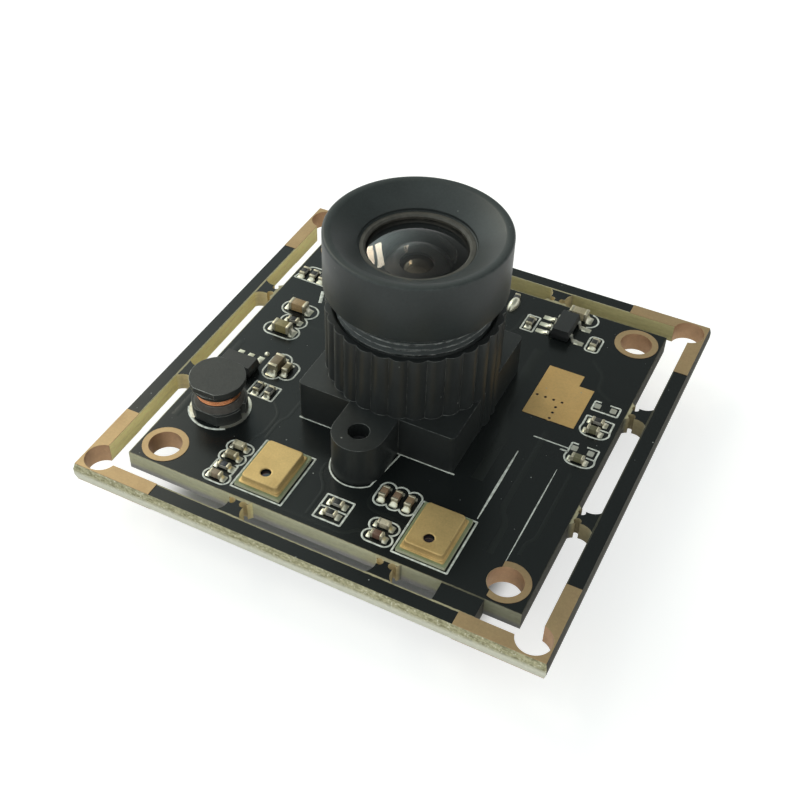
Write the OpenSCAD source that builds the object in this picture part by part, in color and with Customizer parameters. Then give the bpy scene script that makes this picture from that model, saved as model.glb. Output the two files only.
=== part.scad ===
// Board camera with a screw-in lens and two microphones, in a break-off frame. Millimetres.
// Z = 0 is the board's top face, +Z runs out of the lens, and the lens axis is X = Y = 0.
// The near side is -Y, where the microphones are.

/* [Board] */
// Edge length of the square inner board
board_w = 32; // [31:0.5:42]
// Thickness of the glass-fibre laminate
board_t = 1.6; // [1:0.1:2.4]
// Width of the routed slot round the inner board
slot_w = 1.7; // [1.2:0.1:2.2]
// Width of the rails of the break-off frame
rail_w = 1.3; // [1.2:0.1:3]
// Depth of the score cut along the frame's outer edges
score_d = 0.5; // [0.2:0.05:0.7]
// How far the score cut takes back the edge at the surface
score_run = 0.13; // [0.05:0.01:0.4]
// Distance of a break-off tab from the middle of its side
tab_x = 6.05; // [5:0.05:9]
// Width of a break-off tab at its waist
tab_w = 1.24; // [1.1:0.02:3]
// Diameter of the round slot ends beside a tab
slot_end_d = 2.2; // [2.1:0.1:3]
// Diameter of a perforation hole in a tab
bite_d = 0.56; // [0.3:0.02:0.7]
// Distance between the two perforation holes of a tab
bite_pitch = 0.96; // [0.7:0.02:1.1]
// Distance from the inner board's edge to the middle of the perforation holes
bite_out = 0.43; // [0.3:0.01:0.6]
// Width of the solid bridge on the near side
bridge_w = 3.15; // [1:0.05:4]
// Distance of the solid bridge from the middle of the near side
bridge_x = 11.72; // [10:0.02:12.5]
// Diameter of the plated holes at the frame's corners
corner_hole_d = 2.6; // [1.6:0.1:2.6]
// Distance of the corner holes from the frame's outer edges
corner_hole_in = 1.55; // [1.5:0.05:2]
// Length of the gold field along each rail from the frame's corner
gold_l = 6.8; // [3:0.1:9]

/* [Plating] */
// Thickness of copper and gold, on faces and in holes
plate_t = 0.04; // [0.02:0.01:0.08]
// Finished diameter of the mounting holes
mount_d = 2.6; // [2:0.1:3]
// Distance of the mounting holes from the inner board's edges
mount_in = 2; // [1.9:0.1:3]
// Diameter of the gold ring round a mounting hole
ring_d = 3.6; // [3.2:0.1:3.8]
// Distance from the near right hole's centre to the straight edge of its ring
ring_cut = 0.72; // [0.4:0.02:1.8]
// Width of the large gold field
field_w = 4.26; // [3:0.02:5]
// Length of the large gold field
field_l = 6.05; // [4:0.05:7]
// Step in the large gold field's far right corner
field_step = 1.28; // [0.5:0.02:2]
// Diameter of a via in the gold field
via_d = 0.24; // [0.1:0.02:0.3]
// Diameter of the land round the via at the gold field's near edge
via_land_d = 0.62; // [0.4:0.02:0.8]

/* [Lens holder] */
// Width of the holder's square base
base_w = 13.1; // [12.4:0.1:16]
// Height of the holder's base
base_h = 3.55; // [3:0.05:5]
// Radius of the base's upright edges
base_r = 0.4; // [0.1:0.05:1]
// Height of the holder's fluted barrel above the board
barrel_h = 9.2; // [7:0.1:11]
// Wall between the thread bore and the crests of the flutes
barrel_wall = 0.75; // [0.6:0.05:2]
// Number of rounded flutes round the barrel
flute_n = 30; // [12:1:40]
// Radius of one rounded flute
flute_r = 1; // [0.8:0.05:1.3]
// Turn of the flutes about the lens axis, in degrees
flute_turn = -2.5; // [-6:0.5:6]
// Distance between the two screw ears
ear_pitch = 18; // [17:0.5:22]
// Width of a screw ear
ear_w = 4.1; // [3:0.1:5]
// Diameter of a screw ear's hole
ear_hole_d = 1.64; // [1.2:0.02:2]
// Width of the hollow over the image sensor
cavity_w = 10.4; // [9.6:0.1:11]
// Height of the hollow over the image sensor
cavity_h = 1.9; // [1.6:0.1:2.2]
// Thickness of the shelf that carries the filter
shelf_t = 0.9; // [0.7:0.05:1.2]
// Width of the light window in the shelf
window_w = 7; // [5:0.1:8]
// Chamfer at the mouth of the thread bore
mouth_c = 0.25; // [0.1:0.05:0.4]
// Diameter of a locating pin
pin_d = 0.9; // [0.6:0.05:1]
// Length of a locating pin
pin_l = 0.9; // [0.5:0.1:0.95]
// Room round a pin or screw in its hole in the board
hole_gap = 0.05; // [0.02:0.01:0.1]

/* [Holder screws] */
// Diameter of a holder screw
screw_d = 1.6; // [1:0.02:1.62]
// Length of a holder screw under its head
screw_l = 3.9; // [3:0.1:4.5]
// Diameter of a screw's head
screw_head_d = 3; // [2.4:0.1:3.6]
// Height of a screw's head
screw_head_h = 0.9; // [0.6:0.05:1.2]
// Radius of the rounded top of a screw's head
screw_head_r = 2.2; // [1.8:0.1:3]
// Length of each slot of the cross in a screw's head
screw_cross_l = 1.5; // [1:0.1:2]
// Width of each slot of the cross
screw_cross_w = 0.3; // [0.2:0.05:0.5]
// Depth of the cross
screw_cross_d = 0.45; // [0.2:0.05:0.5]

/* [Lens] */
// Outer diameter of the lens thread
thread_d = 12; // [11:0.5:15]
// Radial room between the lens thread and the holder's bore
bore_gap = 0.05; // [0.02:0.01:0.08]
// Length of the lens body below its head
thread_l = 6.9; // [5.8:0.1:8]
// Gap between the lens head and the holder at the modelled focus
focus_gap = 1.9; // [1.7:0.1:2.5]
// Step from the thread to the lens head
head_step = 0.9; // [0.5:0.1:2]
// Height of the lens head
head_h = 4.75; // [4.5:0.05:6]
// Width of the flat rim on the lens head
rim_w = 0.7; // [0.4:0.05:1]
// Chamfer on the outer edges of the lens head
rim_c = 0.18; // [0.05:0.01:0.3]
// Depth of the cone inside the rim
hood_d = 1.15; // [0.8:0.05:1.4]
// Diameter at the foot of the cone
hood_foot_d = 8.72; // [8.7:0.02:9]
// Height of the groove under the head
relief_h = 0.45; // [0.3:0.05:0.6]
// Depth of the groove under the head
relief_d = 0.35; // [0.2:0.05:0.5]

/* [Optics] */
// Diameter of the front glass
front_d = 8.4; // [8:0.1:8.5]
// Thickness of the front glass at its edge
front_t = 1.2; // [1:0.05:1.3]
// Radius of the front glass's outer surface
front_r = 9.5; // [8.5:0.1:14]
// Radius of the hollow behind the front glass
front_back_r = 3.6; // [3.4:0.05:5]
// Height of the ring that holds the front glass
front_ring_h = 0.35; // [0.2:0.05:0.5]
// Width of the ring that holds the front glass
front_ring_w = 0.45; // [0.3:0.05:0.6]
// Diameter of the second glass
second_d = 5.2; // [4.8:0.1:5.2]
// Thickness of the second glass at its edge
second_t = 1.1; // [0.8:0.05:1.2]
// Radius of the second glass's dome
second_r = 2.4; // [2.2:0.1:4]
// Diameter of the opening over the second glass
second_open_d = 2.8; // [2:0.1:3.4]
// Height of the ring over the second glass
second_ring_h = 0.3; // [0.2:0.05:0.4]
// Depth of the free space behind the front glass
front_space = 0.6; // [0.5:0.05:0.7]
// Thickness of the shelf under the second glass
cell_shelf = 0.4; // [0.3:0.05:0.6]
// Width of the lip that carries the second glass
cell_lip = 0.4; // [0.3:0.05:0.6]
// Diameter of the rear pieces of glass
rear_d = 8.2; // [7.6:0.1:8.6]
// Thickness of the aperture stop
stop_t = 0.2; // [0.1:0.05:0.25]
// Opening of the aperture stop
stop_open_d = 1.7; // [1:0.1:2.4]
// Thickness of the crown glass at its edge
crown_t = 0.9; // [0.7:0.05:1]
// Thickness of the flint glass at its edge
flint_t = 1.2; // [1.2:0.05:1.4]
// Radius of the face where crown and flint glass are joined
doublet_r = 9; // [9:0.5:14]
// Height of the spacer between the flint glass and the rear glass
spacer_h = 0.8; // [0.7:0.05:0.9]
// Width of the wall of the spacer and the rear ring
spacer_w = 0.7; // [0.5:0.05:1]
// Thickness of the rear glass at its edge
rear_t = 0.9; // [0.7:0.05:1]
// Radius of the rear glass's two faces
rear_r = 12; // [11.5:0.5:20]
// Height of the ring that holds the rear glass
rear_ring_h = 0.6; // [0.5:0.05:0.8]
// Width of the tool slots in the rear ring
key_w = 0.6; // [0.4:0.1:1]
// Depth of the tool slots in the rear ring
key_d = 0.3; // [0.2:0.05:0.4]
// Radial room round glass and rings
glass_gap = 0.02; // [0.01:0.01:0.05]

/* [Image sensor] */
// Width of the sensor's ceramic tray
tray_w = 8.4; // [7.6:0.1:9]
// Height of the sensor's ceramic tray
tray_h = 0.9; // [0.8:0.05:1]
// Width of the pocket in the tray
pocket_w = 6.8; // [6.6:0.1:7]
// Depth of the pocket in the tray
pocket_d = 0.55; // [0.4:0.05:0.6]
// Width of the sensor chip
chip_w = 6.2; // [5:0.1:6.5]
// Length of the sensor chip
chip_l = 5; // [4:0.1:6.5]
// Thickness of the sensor chip
chip_t = 0.3; // [0.2:0.05:0.35]
// Thickness of the sensor's cover glass
cover_t = 0.4; // [0.3:0.05:0.55]
// Width of the sensor's cover glass
cover_w = 7.8; // [7.2:0.1:8.2]
// Width of the infrared filter
filter_w = 8.6; // [8.2:0.1:9]
// Thickness of the infrared filter
filter_t = 0.3; // [0.2:0.05:0.4]

/* [Microphones] */
// Width of a microphone's base
mic_w = 3.8; // [3:0.02:4]
// Length of a microphone's base
mic_l = 4.9; // [4:0.02:5]
// Thickness of a microphone's base
mic_base_t = 0.28; // [0.2:0.02:0.4]
// Height of a microphone's can over its base
mic_can_h = 0.65; // [0.55:0.05:1.2]
// Radius of the can's upright edges
mic_can_r = 0.35; // [0.25:0.05:0.5]
// Height of the step in the can's upper edge
mic_can_step = 0.12; // [0.06:0.02:0.2]
// Distance from the base's edge to the can's foot
mic_foot = 0.2; // [0.1:0.02:0.3]
// Width of the can's foot
mic_flange = 0.16; // [0.1:0.02:0.2]
// Thickness of the can's sheet
mic_sheet = 0.1; // [0.06:0.01:0.14]
// Diameter of the sound port
mic_port_d = 0.8; // [0.3:0.05:1]
// Distance of the sound port from the can's middle
mic_port_y = 1; // [0.5:0.05:1.3]
// Distance of the microphones from the near edge of the board
mic_in = 3.36; // [3:0.02:4]
// Place of the left microphone across the board
mic_left_x = -5.25; // [-5.3:0.05:-5]
// Place of the right microphone across the board
mic_right_x = 7.99; // [7.9:0.01:8.1]

/* [Power inductor] */
// Diameter of the inductor's foot and top
coil_d = 4.4; // [4:0.1:4.6]
// Width of the inductor across its near and far flats
coil_flat = 4; // [3.8:0.1:4.2]
// Width of the inductor across its slanting flats
coil_slant = 4.4; // [4:0.1:4.6]
// Height of the inductor
coil_h = 3.3; // [3:0.1:4]
// Height of the foot with the flats
coil_foot_h = 1; // [0.6:0.05:1.1]
// Height of the cone on the foot
coil_cone_h = 0.7; // [0.4:0.05:0.9]
// Thickness of the top
coil_top_t = 0.5; // [0.4:0.05:0.8]
// Diameter of the inductor's core
coil_core_d = 1.8; // [1.4:0.1:2.2]
// Outer diameter of the winding
coil_wind_d = 3.5; // [3.2:0.1:3.6]
// Diameter of the notches in the foot, over the terminals
coil_notch_d = 0.7; // [0.4:0.1:0.8]
// Distance of the inductor from the left edge of the board
coil_in = 3.5; // [3.4:0.05:3.6]
// Place of the inductor along the board, from its middle
coil_y = -8.6; // [-8.7:0.05:-8.5]

/* [Small parts] */
// Thickness of the solder under a small part
solder_t = 0.05; // [0.03:0.01:0.08]
// Length of a small capacitor or resistor
small_l = 1; // [0.9:0.05:1.1]
// Width of a small capacitor or resistor
small_w = 0.5; // [0.4:0.05:0.56]
// Length of a large capacitor
large_l = 1.6; // [1.5:0.05:1.7]
// Width and height of a large capacitor
large_w = 0.8; // [0.7:0.05:0.85]
// Height of a resistor
chip_res_h = 0.34; // [0.25:0.01:0.4]
// Length of a small part's metal end
end_l = 0.24; // [0.18:0.02:0.3]
// How far a metal end stands proud of the body
end_proud = 0.02; // [0.01:0.005:0.03]
// Length of the ferrite bead
bead_l = 1.5; // [1.3:0.05:1.7]
// Width of the ferrite bead
bead_w = 0.46; // [0.4:0.02:0.7]
// Height of the ferrite bead
bead_h = 0.4; // [0.3:0.02:0.7]

/* [Regulators] */
// Length of a regulator's body, along its row of leads
reg_l = 2.9; // [2.7:0.05:3.1]
// Width of a regulator's body
reg_w = 1.6; // [1.4:0.05:1.8]
// Height of a regulator's body
reg_h = 1.1; // [0.9:0.05:1.3]
// Distance between neighbouring leads
reg_pitch = 0.95; // [0.9:0.01:1]
// Width over the tips of the leads
reg_span = 2.8; // [2.6:0.05:3]
// Width of one lead
reg_lead_w = 0.4; // [0.3:0.02:0.5]
// Thickness of a lead
lead_t = 0.13; // [0.1:0.01:0.2]
// Length of a lead's foot on its pad
lead_foot = 0.38; // [0.3:0.02:0.5]
// Gap between a moulded body and the board
body_gap = 0.08; // [0.05:0.01:0.15]
// How far a moulded body's sides slope in from its middle
mould_slope = 0.1; // [0.05:0.01:0.15]

/* [Back of the board] */
// Width of the video controller
ctrl_w = 9; // [8:0.1:10]
// Height of the video controller
ctrl_h = 0.85; // [0.75:0.05:1]
// Leads on each side of the video controller
ctrl_leads = 16; // [8:1:17]
// Distance between neighbouring leads of the video controller
ctrl_pitch = 0.5; // [0.4:0.05:0.5]
// Width of a lead of the video controller
ctrl_lead_w = 0.24; // [0.16:0.02:0.3]
// Length of a lead of the video controller
ctrl_lead_l = 0.5; // [0.45:0.05:0.7]
// Thickness of the flat leads on the back
flat_lead_t = 0.2; // [0.1:0.05:0.25]
// Length of the memory chip
flash_l = 4.9; // [4.7:0.05:5.1]
// Width of the memory chip
flash_w = 3.9; // [3.7:0.05:4.1]
// Height of the memory chip
flash_h = 1.5; // [1.3:0.05:1.7]
// Width over the leads of the memory chip
flash_span = 6; // [5.8:0.05:6.2]
// Length of the crystal's can
xtal_l = 10.2; // [9:0.1:11]
// Width of the crystal's can
xtal_w = 3.7; // [3.4:0.1:4]
// Height of the crystal over the board
xtal_h = 3.5; // [2.8:0.1:4.2]
// Thickness of the crystal's plastic foot
xtal_foot_t = 0.6; // [0.5:0.05:0.8]
// Number of contacts in the cable socket
sock_n = 4; // [2:1:6]
// Distance between the contacts of the cable socket
sock_pitch = 1.25; // [1.25:0.05:1.5]
// Height of the cable socket
sock_h = 3.4; // [3:0.1:4]
// Depth of the cable socket, from its mouth to its back
sock_d = 4.4; // [4:0.1:5]
// Wall of the cable socket
sock_wall = 0.6; // [0.45:0.05:0.7]
// Room from the end contacts to the socket's side walls
sock_side = 1.2; // [1.1:0.05:1.5]

/* [Hidden] */
$fn = 64;
eps = 0.01;

// Half widths of the board, of the slot's outer side and of the whole panel
half = board_w / 2;
half_slot = half + slot_w;
panel_w = board_w + 2 * (slot_w + rail_w);
half_panel = panel_w / 2;
corner_c = half_panel - corner_hole_in;
mount_c = half - mount_in;

// Radii and heights of the holder and the lens
bore_r = thread_d / 2 + bore_gap;
barrel_r = bore_r + barrel_wall;
head_r = thread_d / 2 + head_step;
head_z = barrel_h + focus_gap;
rim_z = head_z + head_h;
tail_z = head_z - thread_l;
shelf_z = cavity_h + shelf_t;

// Heights of the optics, from the front down to the stop and on to the rear
ring_top_z = rim_z - hood_d - 0.25;
front_top_z = ring_top_z - front_ring_h;
front_foot_z = front_top_z - front_t;
front_open_r = front_d / 2 + glass_gap - front_ring_w;
cell_top_z = front_foot_z - front_space;
second_top_z = cell_top_z - second_ring_h;
second_foot_z = second_top_z - second_t;
stop_top_z = second_foot_z - cell_shelf;
crown_top_z = stop_top_z - stop_t;
flint_top_z = crown_top_z - crown_t;
spacer_top_z = flint_top_z - flint_t;
rear_top_z = spacer_top_z - spacer_h;
rear_ring_top_z = rear_top_z - rear_t;

// Distance of a locating pin from the lens axis, in the middle of the base's wall
pin_c = (base_w + cavity_w) / 4;

// Height of the winding, and width of the socket round its contacts
coil_wind_h = coil_h - coil_foot_h - coil_cone_h - coil_top_t;
sock_w = (sock_n - 1) * sock_pitch + 2 * (sock_side + sock_wall);

// Places of small parts: [across, along, turn]. Those near an edge keep their distance to it.
left = -half;
right = half;
near = -half;
far = half;
small_caps = [
    [left + 7.24, near + 4.3, 0], [left + 7.24, near + 3.2, 0], [left + 7.24, near + 1, 0],
    [3.07, near + 5.2, 90], [4.1, near + 5.2, 90], [5.13, near + 5.2, 90],
    [4.45, near + 2.5, 0], [4.45, near + 1.4, 0],
    [left + 6, -2.5, 90],
    [right - 1.67, 2.43, 0], [right - 1.67, -0.95, 0]
];
large_caps = [
    [left + 5.05, -2.5, 90], [left + 2.95, 4.75, 0], [left + 3.1, 1.7, 0], [8.55, far - 1, 0]
];
resistors = [
    [left + 7.24, near + 2.1, 0], [0.52, near + 2.75, 0], [0.52, near + 1.7, 0],
    [left + 5.04, -5.4, 90], [left + 6.1, -5.4, 90], [left + 3.32, 3.15, 0],
    [left + 0.8, 9.45, 90], [left + 1.8, 9.45, 90], [left + 2.7, 9.45, 90],
    [right - 1.67, 3.58, 0], [10.92, far - 3.73, 90], [5.18, far - 3.6, 90]
];
bead = [2.95, far - 1.6, 90];
step_up = [left + 2.4, -4.05];
regulator = [8.12, far - 3.2];
bare_pads = [[right - 1.67, 5.4, 0], [right - 1.67, 0.2, 0]];
field_x = 8.62;
field_y = 2.1;

// Places on the back of the board, seen from the front
memory_at = [-7.4, near + 5.4, 0];
xtal_at = [right - 3.4, 0, 90];
sock_at = [left + 2.7, 0, -90];
back_regs = [[7.6, far - 4.4, 0], [7.6, near + 4.4, 0]];
back_caps = [
    [-6.2, 2.6, 90], [-6.2, 0, 90], [-6.2, -2.6, 90], [6.2, 2.6, 90], [6.2, 0, 90],
    [-3.4, 6.3, 0], [3.4, 6.3, 0], [-3.4, -6.3, 0], [3.4, -6.3, 0],
    [4.9, far - 4.4, 90], [10.3, far - 4.4, 90], [4.9, near + 4.4, 90], [10.3, near + 4.4, 90]
];
back_res = [
    [-8.7, 7.6, 90], [-7.6, 7.6, 90], [-6.5, 7.6, 90], [-5.4, 7.6, 90],
    [-6.1, far - 4.6, 0], [-6.1, far - 3.5, 0], [7.4, -2.6, 90], [7.4, 2.6, 90]
];

// A rectangle with round corners
module rounded(w, l, r) {
    square([w - 2 * r, l], center = true);
    square([w, l - 2 * r], center = true);
    for (x = [-1, 1], y = [-1, 1])
        translate([x * (w / 2 - r), y * (l / 2 - r)]) circle(r);
}

// A flat block with round upright edges, standing on Z = 0
module block(w, l, h, r) {
    linear_extrude(h) rounded(w, l, r);
}

// A bar along X with round long edges, its middle at the origin
module bar(l, w, h, r) {
    rotate([90, 0, 90]) linear_extrude(l, center = true) rounded(w, h, r);
}

// Puts its children on the back of the board, with X kept and +Z pointing away from the board
module on_back() {
    translate([0, 0, -board_t]) rotate([180, 0, 0]) children();
}

// Puts its children at a place [x, y, turn]
module at(place) {
    translate([place[0], place[1], 0]) rotate([0, 0, place[2]]) children();
}

// Puts its children at a place on the back, given as it is seen from the front
module behind(place) {
    on_back() at([place[0], -place[1], place[2]]) children();
}

// Board and frame
module tab_outline(x) {
    difference() {
        translate([x, half + slot_w / 2]) square([tab_w + slot_end_d, slot_w + 2 * eps], center = true);
        for (s = [-1, 1])
            translate([x + s * (tab_w + slot_end_d) / 2, half + slot_w / 2]) circle(d = slot_end_d);
        for (s = [-1, 1])
            translate([x + s * bite_pitch / 2, half + bite_out]) circle(d = bite_d);
    }
}

module slots_outline() {
    difference() {
        square(2 * half_slot, center = true);
        square(board_w, center = true);
        for (turn = [0 : 90 : 270], s = [-1, 1])
            rotate(turn) tab_outline(s * tab_x);
        translate([bridge_x - bridge_w / 2, -half_slot - eps]) square([bridge_w, slot_w + 2 * eps]);
    }
    for (turn = [0 : 90 : 270], s = [-1, 1], b = [-1, 1])
        rotate(turn) translate([s * tab_x + b * bite_pitch / 2, half + bite_out]) circle(d = bite_d);
}

module score_cuts() {
    for (turn = [0 : 90 : 270], side = [0, 1])
        rotate(turn)
            translate([half_panel, 0, side == 0 ? 0 : -board_t])
                mirror([0, 0, side])
                    rotate([90, 0, 0])
                        linear_extrude(panel_w + 2, center = true)
                            polygon([
                                [-score_run, eps], [-score_run, 0], [0, -score_d], [1, -score_d], [1, eps]
                            ]);
}

module main_board() {
    color("#171d1d") difference() {
        translate([0, 0, -board_t]) linear_extrude(board_t) square(panel_w, center = true);
        translate([0, 0, -board_t - 1]) linear_extrude(board_t + 2) slots_outline();
        for (x = [-1, 1], y = [-1, 1]) {
            translate([x * mount_c, y * mount_c, -board_t - 1])
                cylinder(h = board_t + 2, d = mount_d + 2 * plate_t);
            translate([x * corner_c, y * corner_c, -board_t - 1])
                cylinder(h = board_t + 2, d = corner_hole_d + 2 * plate_t);
        }
        for (y = [-1, 1]) {
            translate([0, y * ear_pitch / 2, -board_t - 1])
                cylinder(h = board_t + 2, d = screw_d + 6 * hole_gap);
            translate([y * pin_c, -y * pin_c, -pin_l - hole_gap])
                cylinder(h = pin_l + 1, d = pin_d + 2 * hole_gap);
        }
        score_cuts();
    }
}

module ring_outline(cut) {
    difference() {
        circle(d = ring_d);
        circle(d = mount_d);
        if (cut) translate([-ring_d - ring_cut, -ring_d]) square([ring_d, 2 * ring_d]);
    }
}

module mount_hole_plating() {
    color("#c59a5b") for (x = [-1, 1], y = [-1, 1])
        translate([x * mount_c, y * mount_c, 0]) {
            linear_extrude(plate_t) ring_outline(x == 1 && y == -1);
            translate([0, 0, -board_t - plate_t]) linear_extrude(plate_t) ring_outline(false);
            translate([0, 0, -board_t]) difference() {
                cylinder(h = board_t, d = mount_d + 2 * plate_t);
                translate([0, 0, -1]) cylinder(h = board_t + 2, d = mount_d);
            }
        }
}

// One corner of the frame in plan, between the slot and the scored edge
module corner_outline() {
    edge = half_panel - score_run;
    difference() {
        translate([half_panel - gold_l, half_panel - gold_l]) square(gold_l - score_run);
        square(half_slot);
        translate([corner_c, corner_c]) circle(d = corner_hole_d);
    }
}

module corner_plating() {
    color("#c9a261") for (turn = [0 : 90 : 270]) rotate(turn) {
        linear_extrude(plate_t) corner_outline();
        translate([0, 0, -board_t - plate_t]) linear_extrude(plate_t) corner_outline();
        translate([0, 0, -board_t]) linear_extrude(board_t) difference() {
            translate([corner_c, corner_c]) circle(d = corner_hole_d + 2 * plate_t);
            translate([corner_c, corner_c]) circle(d = corner_hole_d);
            square(half_slot);
        }
    }
}

module gold_field() {
    color("#bd9455") linear_extrude(plate_t) difference() {
        union() {
            translate([field_x, field_y]) square([field_w, field_l]);
            translate([field_x + 2.18, field_y + 0.26]) circle(d = via_land_d);
        }
        translate([field_x + field_w - field_step, field_y + field_l - field_step])
            square(field_step + 1);
        for (i = [0 : 3]) translate([field_x + 0.34 + 0.7 * i, field_y + 2.35]) circle(d = via_d);
        for (i = [0 : 2]) translate([field_x + 2.18, field_y + 0.26 + 0.68 * i]) circle(d = via_d);
    }
}

module bare_lands() {
    color("#b7b29a") for (place = bare_pads) at(place) for (s = [-1, 1])
        translate([s * 0.64, 0, 0]) block(0.5, 0.55, plate_t, 0.1);
}

// Lens holder
module barrel_outline() {
    circle(barrel_r - flute_r);
    for (i = [0 : flute_n - 1])
        rotate(flute_turn + i * 360 / flute_n) translate([barrel_r - flute_r, 0]) circle(flute_r);
}

module ear_outline() {
    translate([-ear_w / 2, 0]) square([ear_w, ear_pitch / 2]);
    translate([0, ear_pitch / 2]) circle(d = ear_w);
}

module lens_holder() {
    color("#1b1e20") difference() {
        union() {
            block(base_w, base_w, base_h, base_r);
            linear_extrude(base_h) for (turn = [0, 180]) rotate(turn) ear_outline();
            linear_extrude(barrel_h) barrel_outline();
            for (s = [-1, 1]) translate([s * pin_c, -s * pin_c, -pin_l]) cylinder(h = pin_l + 1, d = pin_d);
        }
        translate([0, 0, -eps]) block(cavity_w, cavity_w, cavity_h + eps, 0.5);
        translate([0, 0, cavity_h - eps]) block(filter_w + 0.1, filter_w + 0.1, filter_t + eps, 0.05);
        translate([0, 0, cavity_h]) block(window_w, window_w, shelf_t + 1, 0.5);
        translate([0, 0, shelf_z]) cylinder(h = barrel_h, r = bore_r);
        translate([0, 0, barrel_h - mouth_c])
            cylinder(h = mouth_c + eps, r1 = bore_r, r2 = bore_r + mouth_c + eps);
        for (y = [-1, 1]) translate([0, y * ear_pitch / 2, -1]) cylinder(h = base_h + 2, d = ear_hole_d);
    }
}

module holder_screws() {
    color("#3a3b3c") for (y = [-1, 1]) translate([0, y * ear_pitch / 2, -board_t]) difference() {
        union() {
            cylinder(h = screw_l, d = screw_d);
            translate([0, 0, -screw_head_h]) rotate_extrude() intersection() {
                translate([0, screw_head_r]) circle(screw_head_r);
                square([screw_head_d / 2, screw_head_h]);
            }
        }
        for (turn = [0, 90]) rotate([0, 0, turn])
            translate([-screw_cross_l / 2, -screw_cross_w / 2, -screw_head_h - eps])
                cube([screw_cross_l, screw_cross_w, screw_cross_d]);
    }
}

// Lens body and optics
module lens_barrel() {
    foot_r = hood_foot_d / 2;
    color("#26292b") difference() {
        rotate_extrude() polygon([
            [0, tail_z], [thread_d / 2 - 0.3, tail_z], [thread_d / 2, tail_z + 0.3],
            [thread_d / 2, head_z - relief_h], [thread_d / 2 - relief_d, head_z - relief_h],
            [thread_d / 2 - relief_d, head_z], [head_r - rim_c, head_z], [head_r, head_z + rim_c],
            [head_r, rim_z - rim_c], [head_r - rim_c, rim_z], [0, rim_z]
        ]);
        translate([0, 0, rim_z - hood_d]) cylinder(h = hood_d + eps, r1 = foot_r, r2 = head_r - rim_w + eps);
        translate([0, 0, front_foot_z]) cylinder(h = hood_d + head_h, r = front_d / 2 + glass_gap);
        translate([0, 0, ring_top_z]) cylinder(h = rim_z - hood_d - ring_top_z + eps, r = foot_r);
        translate([0, 0, second_foot_z]) cylinder(h = head_h, r = second_d / 2 + glass_gap);
        translate([0, 0, tail_z]) cylinder(h = second_foot_z - tail_z + eps, r = second_d / 2 - cell_lip);
        translate([0, 0, tail_z - eps]) cylinder(h = stop_top_z - tail_z + eps, r = rear_d / 2 + glass_gap);
    }
}

module front_ring() {
    color("#191b1d") translate([0, 0, front_top_z]) difference() {
        cylinder(h = front_ring_h, r = front_d / 2);
        translate([0, 0, -1]) cylinder(h = 3, r = front_open_r);
        translate([0, 0, front_ring_h - 0.15])
            cylinder(h = 0.15 + eps, r1 = front_open_r, r2 = front_open_r + 0.15);
    }
}

// A spherical cap of radius r that fills a circle of radius a from height z upwards
module dome(r, a, z) {
    intersection() {
        translate([0, 0, z - sqrt(r * r - a * a)]) sphere(r, $fn = 128);
        translate([0, 0, z]) cylinder(h = r, r = a);
    }
}

module front_glass() {
    a = second_d / 2 + glass_gap;
    color("#5a4636") difference() {
        union() {
            translate([0, 0, front_foot_z]) cylinder(h = front_t, r = front_d / 2);
            dome(front_r, front_open_r - 0.02, front_top_z);
        }
        dome(front_back_r, a, front_foot_z);
    }
}

module cell_ring() {
    color("#141617") translate([0, 0, second_top_z]) difference() {
        cylinder(h = second_ring_h, r = second_d / 2);
        translate([0, 0, -1]) cylinder(h = 3, d = second_open_d);
    }
}

module second_glass() {
    color("#6b5440") {
        translate([0, 0, second_foot_z]) cylinder(h = second_t, r = second_d / 2);
        dome(second_r, second_open_d / 2 - 0.02, second_top_z);
    }
}

module aperture_stop() {
    color("#101112") translate([0, 0, crown_top_z]) difference() {
        cylinder(h = stop_t, r = rear_d / 2 - 0.03);
        translate([0, 0, -1]) cylinder(h = 3, d = stop_open_d);
    }
}

module joined_face() {
    a = rear_d / 2;
    mirror([0, 0, 1]) dome(doublet_r, a, -flint_top_z);
}

module crown_glass() {
    color("#7b8f94") {
        translate([0, 0, flint_top_z]) cylinder(h = crown_t, r = rear_d / 2);
        joined_face();
    }
}

module flint_glass() {
    color("#8b9ba0") difference() {
        translate([0, 0, spacer_top_z]) cylinder(h = flint_t, r = rear_d / 2);
        joined_face();
    }
}

module lens_spacer() {
    color("#1c1e20") translate([0, 0, rear_top_z]) difference() {
        cylinder(h = spacer_h, r = rear_d / 2);
        translate([0, 0, -1]) cylinder(h = 3, r = rear_d / 2 - spacer_w);
    }
}

module rear_glass() {
    a = rear_d / 2 - spacer_w - 0.02;
    color("#8b9ba0") {
        translate([0, 0, rear_ring_top_z]) cylinder(h = rear_t, r = rear_d / 2);
        dome(rear_r, a, rear_top_z);
        mirror([0, 0, 1]) dome(rear_r, a, -rear_ring_top_z);
    }
}

module rear_ring() {
    color("#1c1e20") translate([0, 0, rear_ring_top_z - rear_ring_h]) difference() {
        cylinder(h = rear_ring_h, r = rear_d / 2);
        translate([0, 0, -1]) cylinder(h = 3, r = rear_d / 2 - spacer_w);
        for (turn = [0, 90]) rotate([0, 0, turn])
            translate([-rear_d, -key_w / 2, -eps]) cube([2 * rear_d, key_w, key_d]);
    }
}

module infrared_filter() {
    color("#7fb0b8") translate([0, 0, cavity_h]) block(filter_w, filter_w, filter_t, 0.05);
}

// Image sensor
module sensor_tray() {
    color("#cfc8b8") difference() {
        block(tray_w, tray_w, tray_h, 0.2);
        translate([0, 0, tray_h - pocket_d]) block(pocket_w, pocket_w, pocket_d + 1, 0.2);
        for (turn = [0 : 90 : 270], i = [-5 : 5]) rotate([0, 0, turn])
            translate([tray_w / 2, i * 0.65, -eps]) cylinder(h = tray_h * 0.6, d = 0.3);
    }
}

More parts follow.
